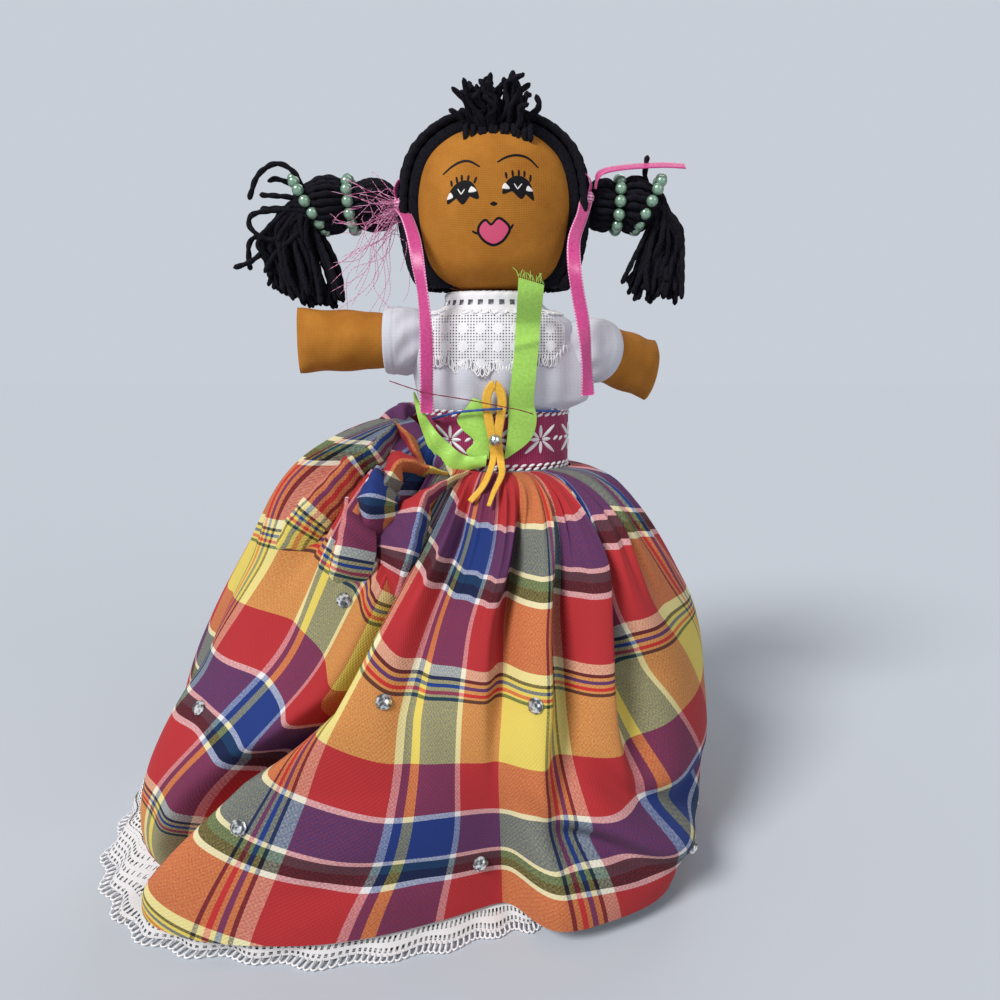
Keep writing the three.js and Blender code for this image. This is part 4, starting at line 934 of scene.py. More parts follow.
for side, ends in (("left", LEFT_ENDS), ("right", RIGHT_ENDS)):
    sign = -1 if side == "left" else 1
    profile = through(PIGTAIL_PROFILE, 60)
    if side == "right":
        profile[:, 0] = 38.5 + RIGHT_SHORTER * (profile[:, 0] - 39.5)
    around = np.linspace(0, 2 * np.pi, 40, endpoint=False)
    core = round_pigtail(sign * profile[:, :1], profile[:, 1:] - 1.6, around)
    bundle = [(core, grid(60, 40, True))]
    for n in range(BUNDLE_STRANDS):
        spin = 2 * np.pi * n / BUNDLE_STRANDS + 0.5 * (profile[:, 0] - 40) / 48
        spin = spin + yarn_chance.uniform(-0.05, 0.05)
        lay = profile[:, 1] - 1.2 + yarn_chance.uniform(-0.3, 0.3)
        line = round_pigtail(sign * profile[:, 0], lay, spin)
        bundle.append(yarn(line[::2], 1.55, step=1.0))
    pigtail = piece(f"pigtail_{side}_yarn", *joined(bundle), wool)
    dress(pigtail, "pigtail_" + side, "pigtail_" + side)

    loose = [yarn(end, 1.25) for end in ends]
    for n in range(TASSEL_STRANDS):
        spin = yarn_chance.uniform(0, 2 * np.pi)
        lay = 6.0 * math.sqrt(yarn_chance.uniform(0, 1))
        reach = yarn_chance.uniform(80, 87) if side == "left" else yarn_chance.uniform(69, 75)
        root = round_pigtail(sign * reach, lay, spin)
        fan = yarn_chance.uniform(-1, 1)
        if side == "left":
            back, low = yarn_chance.uniform(-9, 9), yarn_chance.uniform(-2, 4)
            tip = np.array([-85 - 17 * fan, 6 + back, 236 + low + 8 * max(fan, 0)])
            bend = np.array(
                [-91 - 13 * fan, root[1] + yarn_chance.uniform(-3, 3), 265 + yarn_chance.uniform(-4, 4)]
            )
        else:
            tip = np.array(
                [73 + 11 * fan, 6 + yarn_chance.uniform(-8, 8), 240 + yarn_chance.uniform(-3, 6)]
            )
            bend = np.array(
                [77 + 6 * fan, root[1] + yarn_chance.uniform(-3, 3), 266 + yarn_chance.uniform(-3, 3)]
            )
        halfway = (bend + tip) / 2 + yarn_chance.normal(0, 1.3, 3)
        loose.append(yarn([root, bend, halfway, tip + yarn_chance.normal(0, 1.0, 3)], 1.25))
    tassel = piece(f"tassel_{side}_yarn", *joined(loose), wool)
    dress(tassel, "tassel_" + side, "pigtail_" + side)


# Blouses: thin white cotton cut loosely, gathered into the waistband, with short set-in sleeves hemmed at
# the arm. The cloth is sheer enough to look grey in its folds; seams run round each armhole and sleeve hem.
torso_curve = through(TORSO_STATIONS, 400)


def on_torso(turn, rise, proud):
    """A point round the torso, by direction in radians, height above the waist and distance off it."""
    half_width, half_depth = halves(torso_curve, rise)
    x = (half_width + proud) * np.cos(turn)
    return side_by_side(x, (half_depth + proud) * np.sin(turn), rise + WAIST_HEIGHT)


def on_chest(x, rise, proud):
    """A point on the front of the torso, by distance across and height above the waist."""
    half_width, half_depth = (half + proud for half in halves(torso_curve, rise))
    turn = -np.arccos(np.clip(x / half_width, -0.99, 0.99))
    return side_by_side(x, half_depth * np.sin(turn), rise + WAIST_HEIGHT)


# White cotton lawn: yarns about 0.25 mm apart, drawn at 0.6 mm or they would not show; matt, with a little
# light passing through
white_cotton, tree, shader = new_material("white cotton lawn", "bfbec7", 0.85, Subsurface_Weight=0.06)
place = add(tree, "TexCoord")
LAWN_YARN = 0.6
lines = [
    add(
        tree, "TexWave", {"Vector": place.outputs["Object"]},
        bands_direction=way, Scale=math.pi / 10 / (LAWN_YARN * MM), Distortion=0.8, Detail=1.0,
    )
    for way in ("X", "Z")
]
weave = add(tree, "Math", {0: lines[0].outputs[1], 1: lines[1].outputs[1]}, operation="ADD")
LAWN_TINTS = ((0, "b3b2bb"), (1, "cbcad2"))
add(tree, "ValToRGB", {0: weave}, shader.inputs["Base Color"], LAWN_TINTS)
add(tree, "Bump", {"Height": weave}, shader.inputs["Normal"], Strength=0.2, Distance=0.2 * MM)

BLOUSE_ROWS = 60
BLOUSE_COLUMNS = 180
blouse_rise = np.linspace(2.5, 60.5, BLOUSE_ROWS)[:, None]
blouse_turn = np.linspace(0, 2 * np.pi, BLOUSE_COLUMNS, endpoint=False)
pull = 0.9 * np.sin(9 * blouse_turn + 1.2 * np.sin(3 * blouse_turn)) + 0.5 * np.sin(17 * blouse_turn + 2)
puff = ease(blouse_rise, 9, 18) * (1 - ease(blouse_rise, 22, 46))
creases = 0.5 * np.sin(blouse_rise * 0.35 + 3 * np.cos(blouse_turn * 2)) * ease(blouse_rise, 14, 22)
fuller = 8.5 * ease(blouse_rise, 11, 17) * (1 - ease(blouse_rise, 24, 48))
fuller = fuller * bump(np.degrees(blouse_turn), 353, 32)
blouse_off = 1.2 + fuller + puff * (1.6 + pull) + 0.5 * creases * (1 - ease(blouse_rise, 46, 56))
blouse_points = on_torso(blouse_turn, blouse_rise, blouse_off)
SLEEVE_COLUMNS = 72
SLEEVE_SIZES = {"upper_left": 15.3, "upper_right": 14.6, "lower_left": 14.9, "lower_right": 14.9}
# How much narrower the sleeve is than its size, along the arm from the shoulder
SLEEVE_TAPER = ((-19, 4), (-13, 1.5), (-6, 0.3), (0, 0), (4, 0.6), (6, 0.9))
# The upper sleeves are cut shorter
UPPER_SHORTER = 5.0
along = np.linspace(-19, 6, 36)[:, None]
taper = np.interp(along, *np.transpose(SLEEVE_TAPER))
sleeve_turn = np.linspace(0, 2 * np.pi, SLEEVE_COLUMNS, endpoint=False)
slack = 0.7 * np.sin(7 * sleeve_turn + 0.25 * along) * ease(-along, -3, 6)
sleeve_hem = 0.35 * (ease(along, 1.2, 1.6) - ease(along, 5.4, 6)) - 0.25 * bump(along * 10, 14, 5)
for half in ("upper", "lower"):
    shape = on_half(blouse_points, half)
    blouse = piece("blouse_cloth_" + half, shape, grid(BLOUSE_ROWS, BLOUSE_COLUMNS, True), white_cotton)
    dress(blouse, "blouse_" + half, "body")
    for key in [k for k in ARMS if k.startswith(half)]:
        radius = SLEEVE_SIZES[key] - taper + slack + sleeve_hem
        tube = side_by_side(radius * np.cos(sleeve_turn), 0.93 * radius * np.sin(sleeve_turn), along)
        if half == "upper":
            tube[..., 2] -= UPPER_SHORTER * ease(tube[..., 2], -15, 4)
        rim = tube[-1:] * (0.9, 0.9, 1)
        tube = np.concatenate([tube, rim])
        bends = ease(tube[:, 0, 2], -15, 3)
        tube = np.array([along_arm(ring, key, bent) for ring, bent in zip(tube, bends)])
        sleeve = piece("sleeve_cloth_" + key, tube, grid(len(tube), SLEEVE_COLUMNS, True), white_cotton)
        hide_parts("sleeve_" + key)
        root = along_arm(np.array([0, 0, -12.0]), key) * MM + axis
        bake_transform(sleeve)


# Lace yokes and neck bands: cotton crochet lace, a square net that ends in scallops of looped thread, sewn
# on the blouse. The neck band is machine lace with a row of barred eyelets and a small looped edge above
# and below.
FIBRES_PER_MM = 1.8


def net_lace(name, colour, period, hole, start, end, motif=0.0):
    """White net: a square mesh of holes between two heights, closed in motifs this far apart."""
    material, tree, shader = new_material(name, colour, 0.85)
    place = add(tree, "UVMap", uv_map="cloth")
    apart = add(tree, "SeparateXYZ", {0: place})
    open_ways = []
    for k in (0, 1):
        counted = add(tree, "Math", {0: apart.outputs[k]}, operation="DIVIDE", in1=period[k] * MM)
        cell = add(tree, "Math", {0: counted}, operation="FRACT")
        open_ways.append(add(tree, "Math", {0: cell}, operation="LESS_THAN", in1=hole[k]))
    is_open = add(tree, "Math", {0: open_ways[0], 1: open_ways[1]}, operation="MULTIPLY")
    after = add(tree, "Math", {0: apart.outputs[1]}, operation="GREATER_THAN", in1=start * MM)
    before = add(tree, "Math", {0: apart.outputs[1]}, operation="LESS_THAN", in1=end * MM)
    within = add(tree, "Math", {0: after, 1: before}, operation="MULTIPLY")
    hole_here = add(tree, "Math", {0: is_open, 1: within}, operation="MULTIPLY")
    if motif:
        swings = []
        for k in (0, 1):
            angle = add(
                tree, "Math", {0: apart.outputs[k]}, operation="MULTIPLY", in1=2 * math.pi / (motif * MM),
            )
            swings.append(add(tree, "Math", {0: angle}, operation="SINE"))
        both = add(tree, "Math", {0: swings[0], 1: swings[1]}, operation="ADD")
        clear = add(tree, "Math", {0: both}, operation="LESS_THAN", in1=0.55)
        hole_here = add(tree, "Math", {0: hole_here, 1: clear}, operation="MULTIPLY")
    add(tree, "Math", {1: hole_here}, shader.inputs["Alpha"], operation="SUBTRACT", in0=1.0)
    noise = add(tree, "TexNoise", {"Vector": place}, Scale=FIBRES_PER_MM / MM, Detail=2.0)
    add(tree, "Bump", {"Height": noise}, shader.inputs["Normal"], Strength=0.5, Distance=0.3 * MM)
    return material


# Cotton thread: matt white; its two plies are in the mesh itself, and its fibres are a fine roughness
white_thread, tree, shader = new_material("white cotton thread", "e6e4e5", 0.8)
place = add(tree, "TexCoord")
noise = add(tree, "TexNoise", {"Vector": place.outputs["Object"]}, Scale=FIBRES_PER_MM / MM, Detail=2.0)
add(tree, "Bump", {"Height": noise}, shader.inputs["Normal"], Strength=0.4, Distance=0.2 * MM)
yoke_net = net_lace("white crochet net", "e8e6e7", (1.25, 1.25), (0.55, 0.55), 2.0, 26.0, 7.5)
eyelet_band = net_lace("white eyelet lace", "e4e2e4", (4.4, 9.0), (0.5, 0.3), 0.5, 6.0)

YOKE_HALF = 31.0
YOKE_TOP = 57.5
YOKE_SCALLOPS = 6
yoke_across = np.linspace(-1, 1, 120)
yoke_drop = 23.5 - 6 * yoke_across**2 + 3.2 * np.abs(np.sin(np.pi * YOKE_SCALLOPS * (yoke_across + 1) / 2))
yoke_down = np.linspace(0, 1, 40)[:, None]
yoke_x = YOKE_HALF * yoke_across * (0.62 + 0.38 * ease(yoke_down, 0, 0.5))
yoke_rise = YOKE_TOP - yoke_down * yoke_drop
yoke_ripple = 2.6 + 0.35 * np.sin(yoke_across * 24) * yoke_down
yoke_points = on_chest(yoke_x, yoke_rise, yoke_ripple)
yoke_cloth = side_by_side(yoke_x, YOKE_TOP - yoke_rise)
edge_x = YOKE_HALF * np.linspace(-1, 1, 46)
edge_rise = YOKE_TOP - np.interp(edge_x / YOKE_HALF, yoke_across, yoke_drop)
# Spots along a loop of thread: distance aside and up, and whether it sways there
YOKE_LOOP = ((-0.5, 1.2, 0), (-0.95, -1.6, 1), (0, -3.1, 1), (0.95, -1.6, 1), (0.5, 1.2, 0))
loops = []
for x, rise in zip(edge_x, edge_rise):
    sway = 0.5 * math.sin(x * 1.3)
    spots = [on_chest(x + aside + sway * free, rise + up, 2.9) for aside, up, free in YOKE_LOOP]
    loops.append(yarn(spots, 0.36, 6, 0.5))
band_turn = np.linspace(0, 2 * np.pi, 160, endpoint=False)
band_rise = np.linspace(55.8, 63.8, 14)[:, None]
band_points = on_torso(band_turn, band_rise, 2.7 + 0.25 * np.sin(24 * band_turn) * ease(band_rise, 60, 64))
band_cloth = side_by_side(band_turn * 21, band_rise - 57.6)
NECK_LOOPS = 44
# Spots along a loop of thread: direction aside, and distance out of the band's edge
NECK_LOOP = ((-0.05, 0), (-0.06, 1.0), (0, 1.7), (0.06, 1.0), (0.05, 0))
neck_loops = []
for turn in np.arange(NECK_LOOPS) * 2 * np.pi / NECK_LOOPS:
    for foot, sign in ((63.6, 1), (56.0, -1)):
        spots = [on_torso(turn + aside, foot + sign * reach, 2.8) for aside, reach in NECK_LOOP]
        neck_loops.append(yarn(spots, 0.4, 6, 0.5))
edging_points, edging_faces = joined(loops)
picot_points, picot_faces = joined(neck_loops)
for half in ("upper", "lower"):
    yoke = piece(
        "lace_yoke_" + half, on_half(yoke_points, half), grid(*yoke_points.shape[:2]), yoke_net,
        yoke_cloth * MM,
    )
    dress(yoke, "lace_collar_" + half, "body")
    edging = piece("lace_yoke_loops_" + half, on_half(edging_points, half), edging_faces, white_thread)
    neck = piece(
        "neck_band_lace_" + half, on_half(band_points, half), grid(*band_points.shape[:2], True),
        eyelet_band, band_cloth * MM,
    )
    dress(neck, "neck_band_" + half, "body")
    picot = piece("neck_band_loops_" + half, on_half(picot_points, half), picot_faces, white_thread)
    for obj in (edging, picot):
        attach(obj, "body")


# Waistband: a woven magenta band about 26 mm wide over the waist seam, worked in white thread with stars
# and with pairs of short stitches between them. Rows of slanted white stitches hold down both edges.
BAND_HALF = (34.0, 24.5)
BAND_HEIGHTS = (163.2, 188.8)


def off_band(turn, z, proud):
    """A point off the waistband by direction, height and distance."""
    return side_by_side((BAND_HALF[0] + proud) * np.cos(turn), (BAND_HALF[1] + proud) * np.sin(turn), z)


def on_band(x, z, proud):
    """A point on the front of the waistband by distance across and height."""
    return off_band(-np.arccos(np.clip(x / (BAND_HALF[0] + proud), -0.995, 0.995)), z, proud)


def round_band(length, z, proud):
    """A point round the waistband by length of band, from its left side over the front."""
    return off_band(np.interp(np.mod(length, band_length), band_gone, band_turns), z, proud)


band_turns = np.linspace(math.pi, 3 * math.pi, 721)
band_gone = gone_along(off_band(band_turns, 0, 0))
band_length = band_gone[-1]


def stitch(start, end, width, proud):
    """One satin stitch of thread on the band: a plump lozenge from start to end."""
    a, b = np.array(start, float), np.array(end, float)
    t = np.linspace(0, 1, 9)
    path = a + (b - a) * t[:, None]
    side = np.array([-(b - a)[1], (b - a)[0]]) / np.linalg.norm(b - a)
    plump = np.sqrt(np.sin(np.pi * np.clip(t, 0.03, 0.97)))
    lanes = np.linspace(-1, 1, 5)
    spots = path[None] + side * (lanes[:, None] * plump * width / 2)[..., None]
    high = proud * (1 - 0.9 * lanes[:, None] ** 2) * plump
    return round_band(spots[..., 0], spots[..., 1], high), grid(5, 9)


# Woven wool band: magenta ribs 1 mm apart across the width, uneven in depth of colour
BAND_RIB = 1.0
wool_band, tree, shader = new_material("ribbed magenta wool", "97234f", 0.85, Sheen_Weight=0.15)
place = add(tree, "UVMap", uv_map="cloth")
rib = add(
    tree, "TexWave", {"Vector": place},
    bands_direction="X", Scale=math.pi / 10 / (BAND_RIB * MM), Distortion=1.5, Detail=2.0, Detail_Scale=1.5,
)
BAND_TINTS = ((0, "7a1a40"), (1, "b02c62"))
add(tree, "ValToRGB", {0: rib.outputs[1]}, shader.inputs["Base Color"], BAND_TINTS)
add(tree, "Bump", {"Height": rib.outputs[1]}, shader.inputs["Normal"], Strength=0.6, Distance=0.4 * MM)

lengths = np.linspace(0, band_length, 360)
band_levels = np.linspace(BAND_HEIGHTS[0], BAND_HEIGHTS[1], 16)[:, None]
drawn_in = ease(-band_levels, -BAND_HEIGHTS[0] - 1.6, -BAND_HEIGHTS[0])
drawn_in = drawn_in + ease(band_levels, BAND_HEIGHTS[1] - 1.6, BAND_HEIGHTS[1])
ribs = 0.12 * np.sin(2 * np.pi * lengths) - 0.5 * drawn_in
band_sheet = round_band(lengths[:-1], band_levels, ribs[:, :-1])
band_uv = side_by_side(lengths[:-1], band_levels)
waistband = piece("waistband_cloth", band_sheet, grid(16, 359, True), wool_band, band_uv * MM)
dress(waistband, "waistband", "body")

STAR_COUNT = 9
STAR_START = 26.5
STAR_HEIGHT = 176.4
stitches = []
for n in range(STAR_COUNT):
    at = STAR_START + n * band_length / STAR_COUNT
    z = STAR_HEIGHT
    for reach, rise in (
        (7.6, 6.0), (7.6, -6.0), (-7.6, 6.0), (-7.6, -6.0), (0, 6.2), (0, -6.2), (5.2, 0), (-5.2, 0),
    ):
        stitches.append(stitch((at + 0.12 * reach, z + 0.12 * rise), (at + reach, z + rise), 1.7, 0.7))
    middle = at + band_length / STAR_COUNT / 2
    for dx, dz, ex, ez in ((-3.2, -0.6, -0.4, 1.0), (0.4, -1.0, 3.2, 0.6)):
        stitches.append(stitch((middle + dx, z + dz), (middle + ex, z + ez), 1.5, 0.6))
EDGE_STITCHES = 48
for n in range(EDGE_STITCHES):
    at = n * band_length / EDGE_STITCHES
    for z, sign in ((BAND_HEIGHTS[0] + 0.7, 1), (BAND_HEIGHTS[1] - 0.7, -1)):
        for lag in (0, 1.6):
            low = z + sign * (lag - 0.5)
            stitches.append(stitch((at - 1.4 + lag, low - 0.5), (at + 1.4 + lag, low + 0.5), 1.35, 0.75))
stars = piece("waistband_stitches", *joined(stitches), white_thread)
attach(stars, "body")


# Lime ribbons: polyester satin about 12.7 mm wide, cut by hand so the ends fray, folded and sewn to the
# waistband. One piece stands up the chest to the chin; one runs along the band to the left hip, and a cut
# end shows as a leaf.
def ruled(left, right, rows, lanes, place, belly=0.0):
    """A strip between two edges of (across, height) points, laid on a surface, with its cloth places."""
    a, b = through(left, rows), through(right, rows)
    t = np.linspace(0, 1, lanes)[None, :, None]
    spots = a[:, None] * (1 - t) + b[:, None] * t
    points = place(spots[..., 0], spots[..., 1])
    points[..., 1] -= belly * np.sin(np.pi * t[..., 0])
    gone = gone_along(points.mean(axis=1))
    wide = np.linalg.norm(points[:, -1] - points[:, 0], axis=1).mean()
    return points, side_by_side(t[0, :, 0] * wide, gone[:, None])


def satin(name, dark, bright, thread, picot=None):
    """Ribbon satin: floats give a soft gloss; they are drawn 0.4 to 0.5 mm apart, or they would not show."""
    material, tree, shader = new_material(name, bright, 0.42, Sheen_Weight=0.2, Specular_IOR_Level=0.45)
    place = add(tree, "UVMap", uv_map="cloth")
    floats = add(
        tree, "TexWave", {"Vector": place},
        bands_direction="Y", Scale=math.pi / 10 / (thread * MM),
        Distortion=2.0, Detail=3.0, Detail_Scale=3.0,
    )
    # Streaks in the dye, about 1.4 mm long
    streak = add(tree, "TexNoise", {"Vector": place}, Scale=0.7 / MM, Detail=4.0, Roughness=0.7)
    both = add(tree, "Math", {0: floats.outputs[1], 2: streak}, operation="MULTIPLY_ADD", in1=0.35)
    tint = add(tree, "ValToRGB", {0: both}, stops=((0.35, dark), (0.95, bright)))
    colour = tint.outputs[0]
    if picot:
        apart = add(tree, "SeparateXYZ", {0: place})
        aside = add(tree, "Math", {0: apart}, operation="ABSOLUTE")
        edge = add(tree, "Math", {0: aside}, operation="GREATER_THAN", in1=picot[0] * MM)
        counted = add(tree, "Math", {0: apart.outputs[1]}, operation="DIVIDE", in1=1.3 * MM)
        cell = add(tree, "Math", {0: counted}, operation="FRACT")
        dots = add(tree, "Math", {0: cell}, operation="LESS_THAN", in1=0.6)
        there = add(tree, "Math", {0: edge, 1: dots}, operation="MULTIPLY")
        trimmed = add(tree, "Mix", {0: there, 6: colour}, data_type="RGBA", in7=linear(picot[1]))
        colour = trimmed.outputs[2]
    tree.links.new(colour, shader.inputs["Base Color"])
    add(tree, "Bump", {"Height": both}, shader.inputs["Normal"], Strength=0.3, Distance=0.2 * MM)
    return material


lime_satin = satin("lime satin ribbon", "86bd45", "b2e265", 0.5)


def over_chest(x, z):
    """The front of the dressed doll: the chest above, the waistband below."""
    chest = on_chest(x, np.minimum(z, 226) - WAIST_HEIGHT, 4.2 + 2.2 * bump(z, 202, 12))
    band = on_band(x, z, 2.2)
    low = np.minimum(chest[..., 1], band[..., 1])
    y = np.where(z > 192, chest[..., 1], low)
    y = y - 5.6 * ease(z, 222, 240)
    return side_by_side(x, y, z)


STRIP_LEFT = (
    (10.3, 244.4), (9.7, 233), (9.0, 218.4), (7.9, 206), (6.6, 194), (6.2, 183.3), (5.4, 175), (4.4, 168.6),
)
STRIP_RIGHT = (
    (21.0, 241.6), (20.2, 232), (19.3, 218.4), (18.2, 206), (17.2, 194), (18.6, 185.5), (15.8, 176.6),
    (5.6, 168.8),
)
strip_points, strip_cloth = ruled(STRIP_LEFT, STRIP_RIGHT, 90, 14, over_chest)
strip_points[..., 1] -= 0.9 * bump(strip_points[..., 2] - 0.25 * strip_points[..., 0], 214.5, 1.6)
strip_points[..., 1] -= 0.5 * np.sin(strip_points[..., 2] * 0.11)
fray_chance = np.random.default_rng(23)
strip_parts = [(strip_points, grid(90, 14))]
STRIP_FRAY = 18
for n in range(STRIP_FRAY):
    foot = strip_points[0, n * 13 // (STRIP_FRAY - 1)]
    lean = fray_chance.normal(0, 1.1, 2)
    rise = fray_chance.uniform(1.2, 4.6)
    strip_parts.append(
        yarn([foot, foot + (lean[0] * 0.3, lean[1] * 0.2, rise * 0.6), foot + (*lean, rise)], 0.17, 4, 0.8)
    )
frayed_points, frayed_faces = joined(strip_parts)
frayed_cloth = np.concatenate(
    [strip_cloth.reshape(-1, 2), frayed_points[strip_points[..., 0].size :, [0, 2]]]
)
strip = piece("green_ribbon_strip_satin", frayed_points, frayed_faces, lime_satin, frayed_cloth * MM)
dress(strip, "green_ribbon_strip", "body")
LEAF_LEFT = (
    (-34.6, 197.7), (-33.6, 190.5), (-30.6, 179.5), (-26.4, 170.2), (-20.6, 163.8), (-12.2, 163.6),
    (-3.4, 165.8),
)
LEAF_RIGHT = (
    (-33.8, 197.4), (-28.4, 186), (-23, 179), (-16.4, 173), (-12.4, 170.4), (-8.2, 169.8), (-2.9, 170.6),
)


def spread(x, z):
    """The swag's cloth: on the band at the front, but flat and clear of it towards the left hip."""
    points = on_band(x, z, 3.0)
    points[..., 1] = np.minimum(points[..., 1], -27.3 + 2.5 * ease(-x, 20, 37))
    points[..., 0] = x
    return points


leaf_points, leaf_cloth = ruled(LEAF_LEFT, LEAF_RIGHT, 70, 10, spread, 0.8)
leaf_points[..., 1] -= 0.6 * np.sin(leaf_cloth[..., 1] * 0.55 + 0.5 * leaf_cloth[..., 0])
TIP_LEFT = (
    (-8.9, 194.9), (-11.9, 190.5), (-15.9, 185.7), (-13.3, 181.0), (-8.6, 176.4), (-12.0, 171.8),
    (-9.5, 168.5),
)
TIP_RIGHT = (
    (-4.1, 193.6), (-2.9, 191.9), (-2.4, 185.5), (-2.0, 181.2), (-1.8, 176.9), (-1.8, 172.5), (-2.2, 168.6),
)
tip_points, tip_cloth = ruled(TIP_LEFT, TIP_RIGHT, 50, 10, lambda x, z: on_band(x, z, 2.3), 0.5)
both_points, both_faces = joined([(leaf_points, grid(70, 10)), (tip_points, grid(50, 10))])
both_cloth = np.concatenate([leaf_cloth.reshape(-1, 2), tip_cloth.reshape(-1, 2)])
swag = piece("green_ribbon_swag_satin", both_points, both_faces, lime_satin, both_cloth * MM)
dress(swag, "green_ribbon_swag", "body")


# Yellow ribbon: satin about 4 mm wide, folded into a loop and two tails and sewn through a silver bead at
# the waist. It lies over the lime ribbon; the tails roll in to half their width and hang over the skirt.
yellow_satin = satin("yellow satin ribbon", "cf9420", "f0c040", 0.4)


def ribbon(path, wide, across, thick=0.35, lanes=6):
    """A flat ribbon along a path, its width across one direction, as a thin solid with cloth places."""
    rough = through(path, 12 * len(path))
    ahead = unit(np.gradient(rough, axis=0))
    ways = np.broadcast_to(np.asarray(across, float), rough.shape)
    side = unit(ways - ahead * np.sum(ways * ahead, axis=1)[:, None])
    face = np.cross(ahead, side)
    t = np.concatenate([np.linspace(-1, 1, lanes), np.linspace(1, -1, lanes)])
    lay = np.concatenate([np.full(lanes, 0.5), np.full(lanes, -0.5)])
    half = np.broadcast_to(wide, (len(rough),))[:, None] / 2
    points = rough[:, None] + side[:, None] * (t * half)[..., None] + face[:, None] * (lay * thick)[:, None]
    gone = gone_along(rough)
    cloth = side_by_side(t * half, gone[:, None])
    faces = grid(len(rough), 2 * lanes, True).tolist()
    last = (len(rough) - 1) * 2 * lanes
    faces += [tuple(range(2 * lanes)), tuple(last + k for k in reversed(range(2 * lanes)))]
    return points.reshape(-1, 3), faces, cloth.reshape(-1, 2), gone[-1], rough


def laid(spots, proud):
    """Spots of (across, height) over the waistband, or over the skirt's gathers below it."""
    line = []
    for x, z in spots:
        spot = on_band(x, z, proud)
        near = (np.abs(plaid_points[..., 0] - x) < 2.5) & (np.abs(plaid_points[..., 2] - z) < 2.5)
        spot[1] = min(spot[1], plaid_points[..., 1][near].min(initial=0.0) - 1.0)
        line.append(spot)
    return np.array(line)


YELLOW_PATH = (
    (-9.8, 153.3), (-3.8, 160.2), (-0.3, 168.6), (-0.6, 177.3), (-2.0, 185.5), (-2.9, 192.3),
    (-2.4, 197.2), (0.3, 200.6), (3.0, 197.2), (3.6, 192.3), (2.7, 185.5), (1.6, 177.3), (3.0, 168),
    (3.4, 163.4), (0.1, 157.7), (-1.9, 153.2),
)
# Share of the ribbon's length, and its width there
YELLOW_WIDTHS = ((0, 2.4), (0.12, 2.7), (0.26, 3.9), (0.74, 3.9), (0.86, 2.7), (1, 1.6))
yellow_shares = np.linspace(0, 1, 12 * len(YELLOW_PATH))
yellow_wide = np.interp(yellow_shares, *np.transpose(YELLOW_WIDTHS))
yellow_points, yellow_faces, yellow_cloth, _, _ = ribbon(
    laid(YELLOW_PATH, 4.0), yellow_wide, (1, 0, 0.02), 0.4,
)
yellow = piece("yellow_ribbon_satin", yellow_points, yellow_faces, yellow_satin, yellow_cloth * MM)
dress(yellow, "yellow_ribbon", "body")

# Silver bead: a round glass bead with a mirrored lining, pressed from the mould in low facets
mirror, tree, shader = new_material("mirrored silver glass", "b9bbbd", 0.12, Metallic=0.85)
place = add(tree, "TexCoord")
# Mottled lining, in patches about 1.4 mm wide
mottle = add(tree, "TexNoise", {"Vector": place.outputs["Object"]}, Scale=0.7 / MM, Detail=2.0)
MIRROR_TINTS = ((0, "8d9092"), (1, "e2e4e4"))
add(tree, "ValToRGB", {0: mottle}, shader.inputs["Base Color"], MIRROR_TINTS)


def ball(centre, radius, rows=14, columns=20, facet=0.0):
    """A round bead; facet flattens it in steps, as moulded glass is."""
    up = np.linspace(0.02, np.pi - 0.02, rows)[:, None]
    turn = np.linspace(0, 2 * np.pi, columns, endpoint=False)
    size = radius * (1 - facet * np.abs(np.sin(4 * turn) * np.sin(4 * up)))
    x = size * np.sin(up) * np.cos(turn)
    points = side_by_side(x, size * np.sin(up) * np.sin(turn), size * np.cos(up))
    return points + centre, grid(rows, columns, True)


WAIST_BEAD = 2.7
waist_bead = piece("waist_bead_glass", *ball(on_band(0.6, 177.3, 6.6), WAIST_BEAD, 20, 28, 0.09), mirror)
dress(waist_bead, "waist_rhinestone", "body")


# Cord and thread at the waist: a thin blue cord tied over the band's upper edge, and a dark red sewing
# thread left over. The cord passes over the yellow loop and behind the lime strip; the thread only lies on
# the blouse.
BLUE_CORD = (
    (-27.5, 185.0, 1.0), (-24, 186.3, 3.6), (-19.9, 187.7, 4.4), (-13.3, 189.2, 5.0), (-4.2, 190.2, 5.4),
    (1, 190.5, 5.4), (4.5, 190.6, 3.2), (7, 190.4, 1.2), (17, 189.3, 0.9), (22, 188.9, 1.1),
    (28.8, 188.4, 0.7),
)
RED_THREAD = (
    (-44.8, -24, 202.1), (-36, -29.5, 199.6), (-28, -31, 197.3), (-19, -31.3, 195.8), (-10.2, -31.6, 194.4),
    (-2, -32, 192.8), (4.8, -32, 191.5), (11.3, -31, 190.1), (17, -29, 188.2),
)
cord_line = [on_band(x, z, proud) for x, z, proud in BLUE_CORD]
# Mercerised cotton: dull, its fibres 0.7 mm apart over the twist
for name, path, colour, thick in (
    ("blue_cord", cord_line, "2b4f97", 1.1), ("red_thread", RED_THREAD, "7a2430", 0.5),
):
    twisted, tree, shader = new_material(name.replace("_", " ") + " of cotton", colour, 0.75)
    place = add(tree, "TexCoord")
    twist = add(tree, "TexNoise", {"Vector": place.outputs["Object"]}, Scale=1.5 / MM, Detail=2.0)
    add(tree, "Bump", {"Height": twist}, shader.inputs["Normal"], Strength=0.4, Distance=0.2 * MM)
    strand = piece(name, *yarn(path, thick / 2, 8, 0.5), twisted)
    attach(strand, "body")
    line = through(path, 12 * len(path))
    length = gone_along(line)[-1]


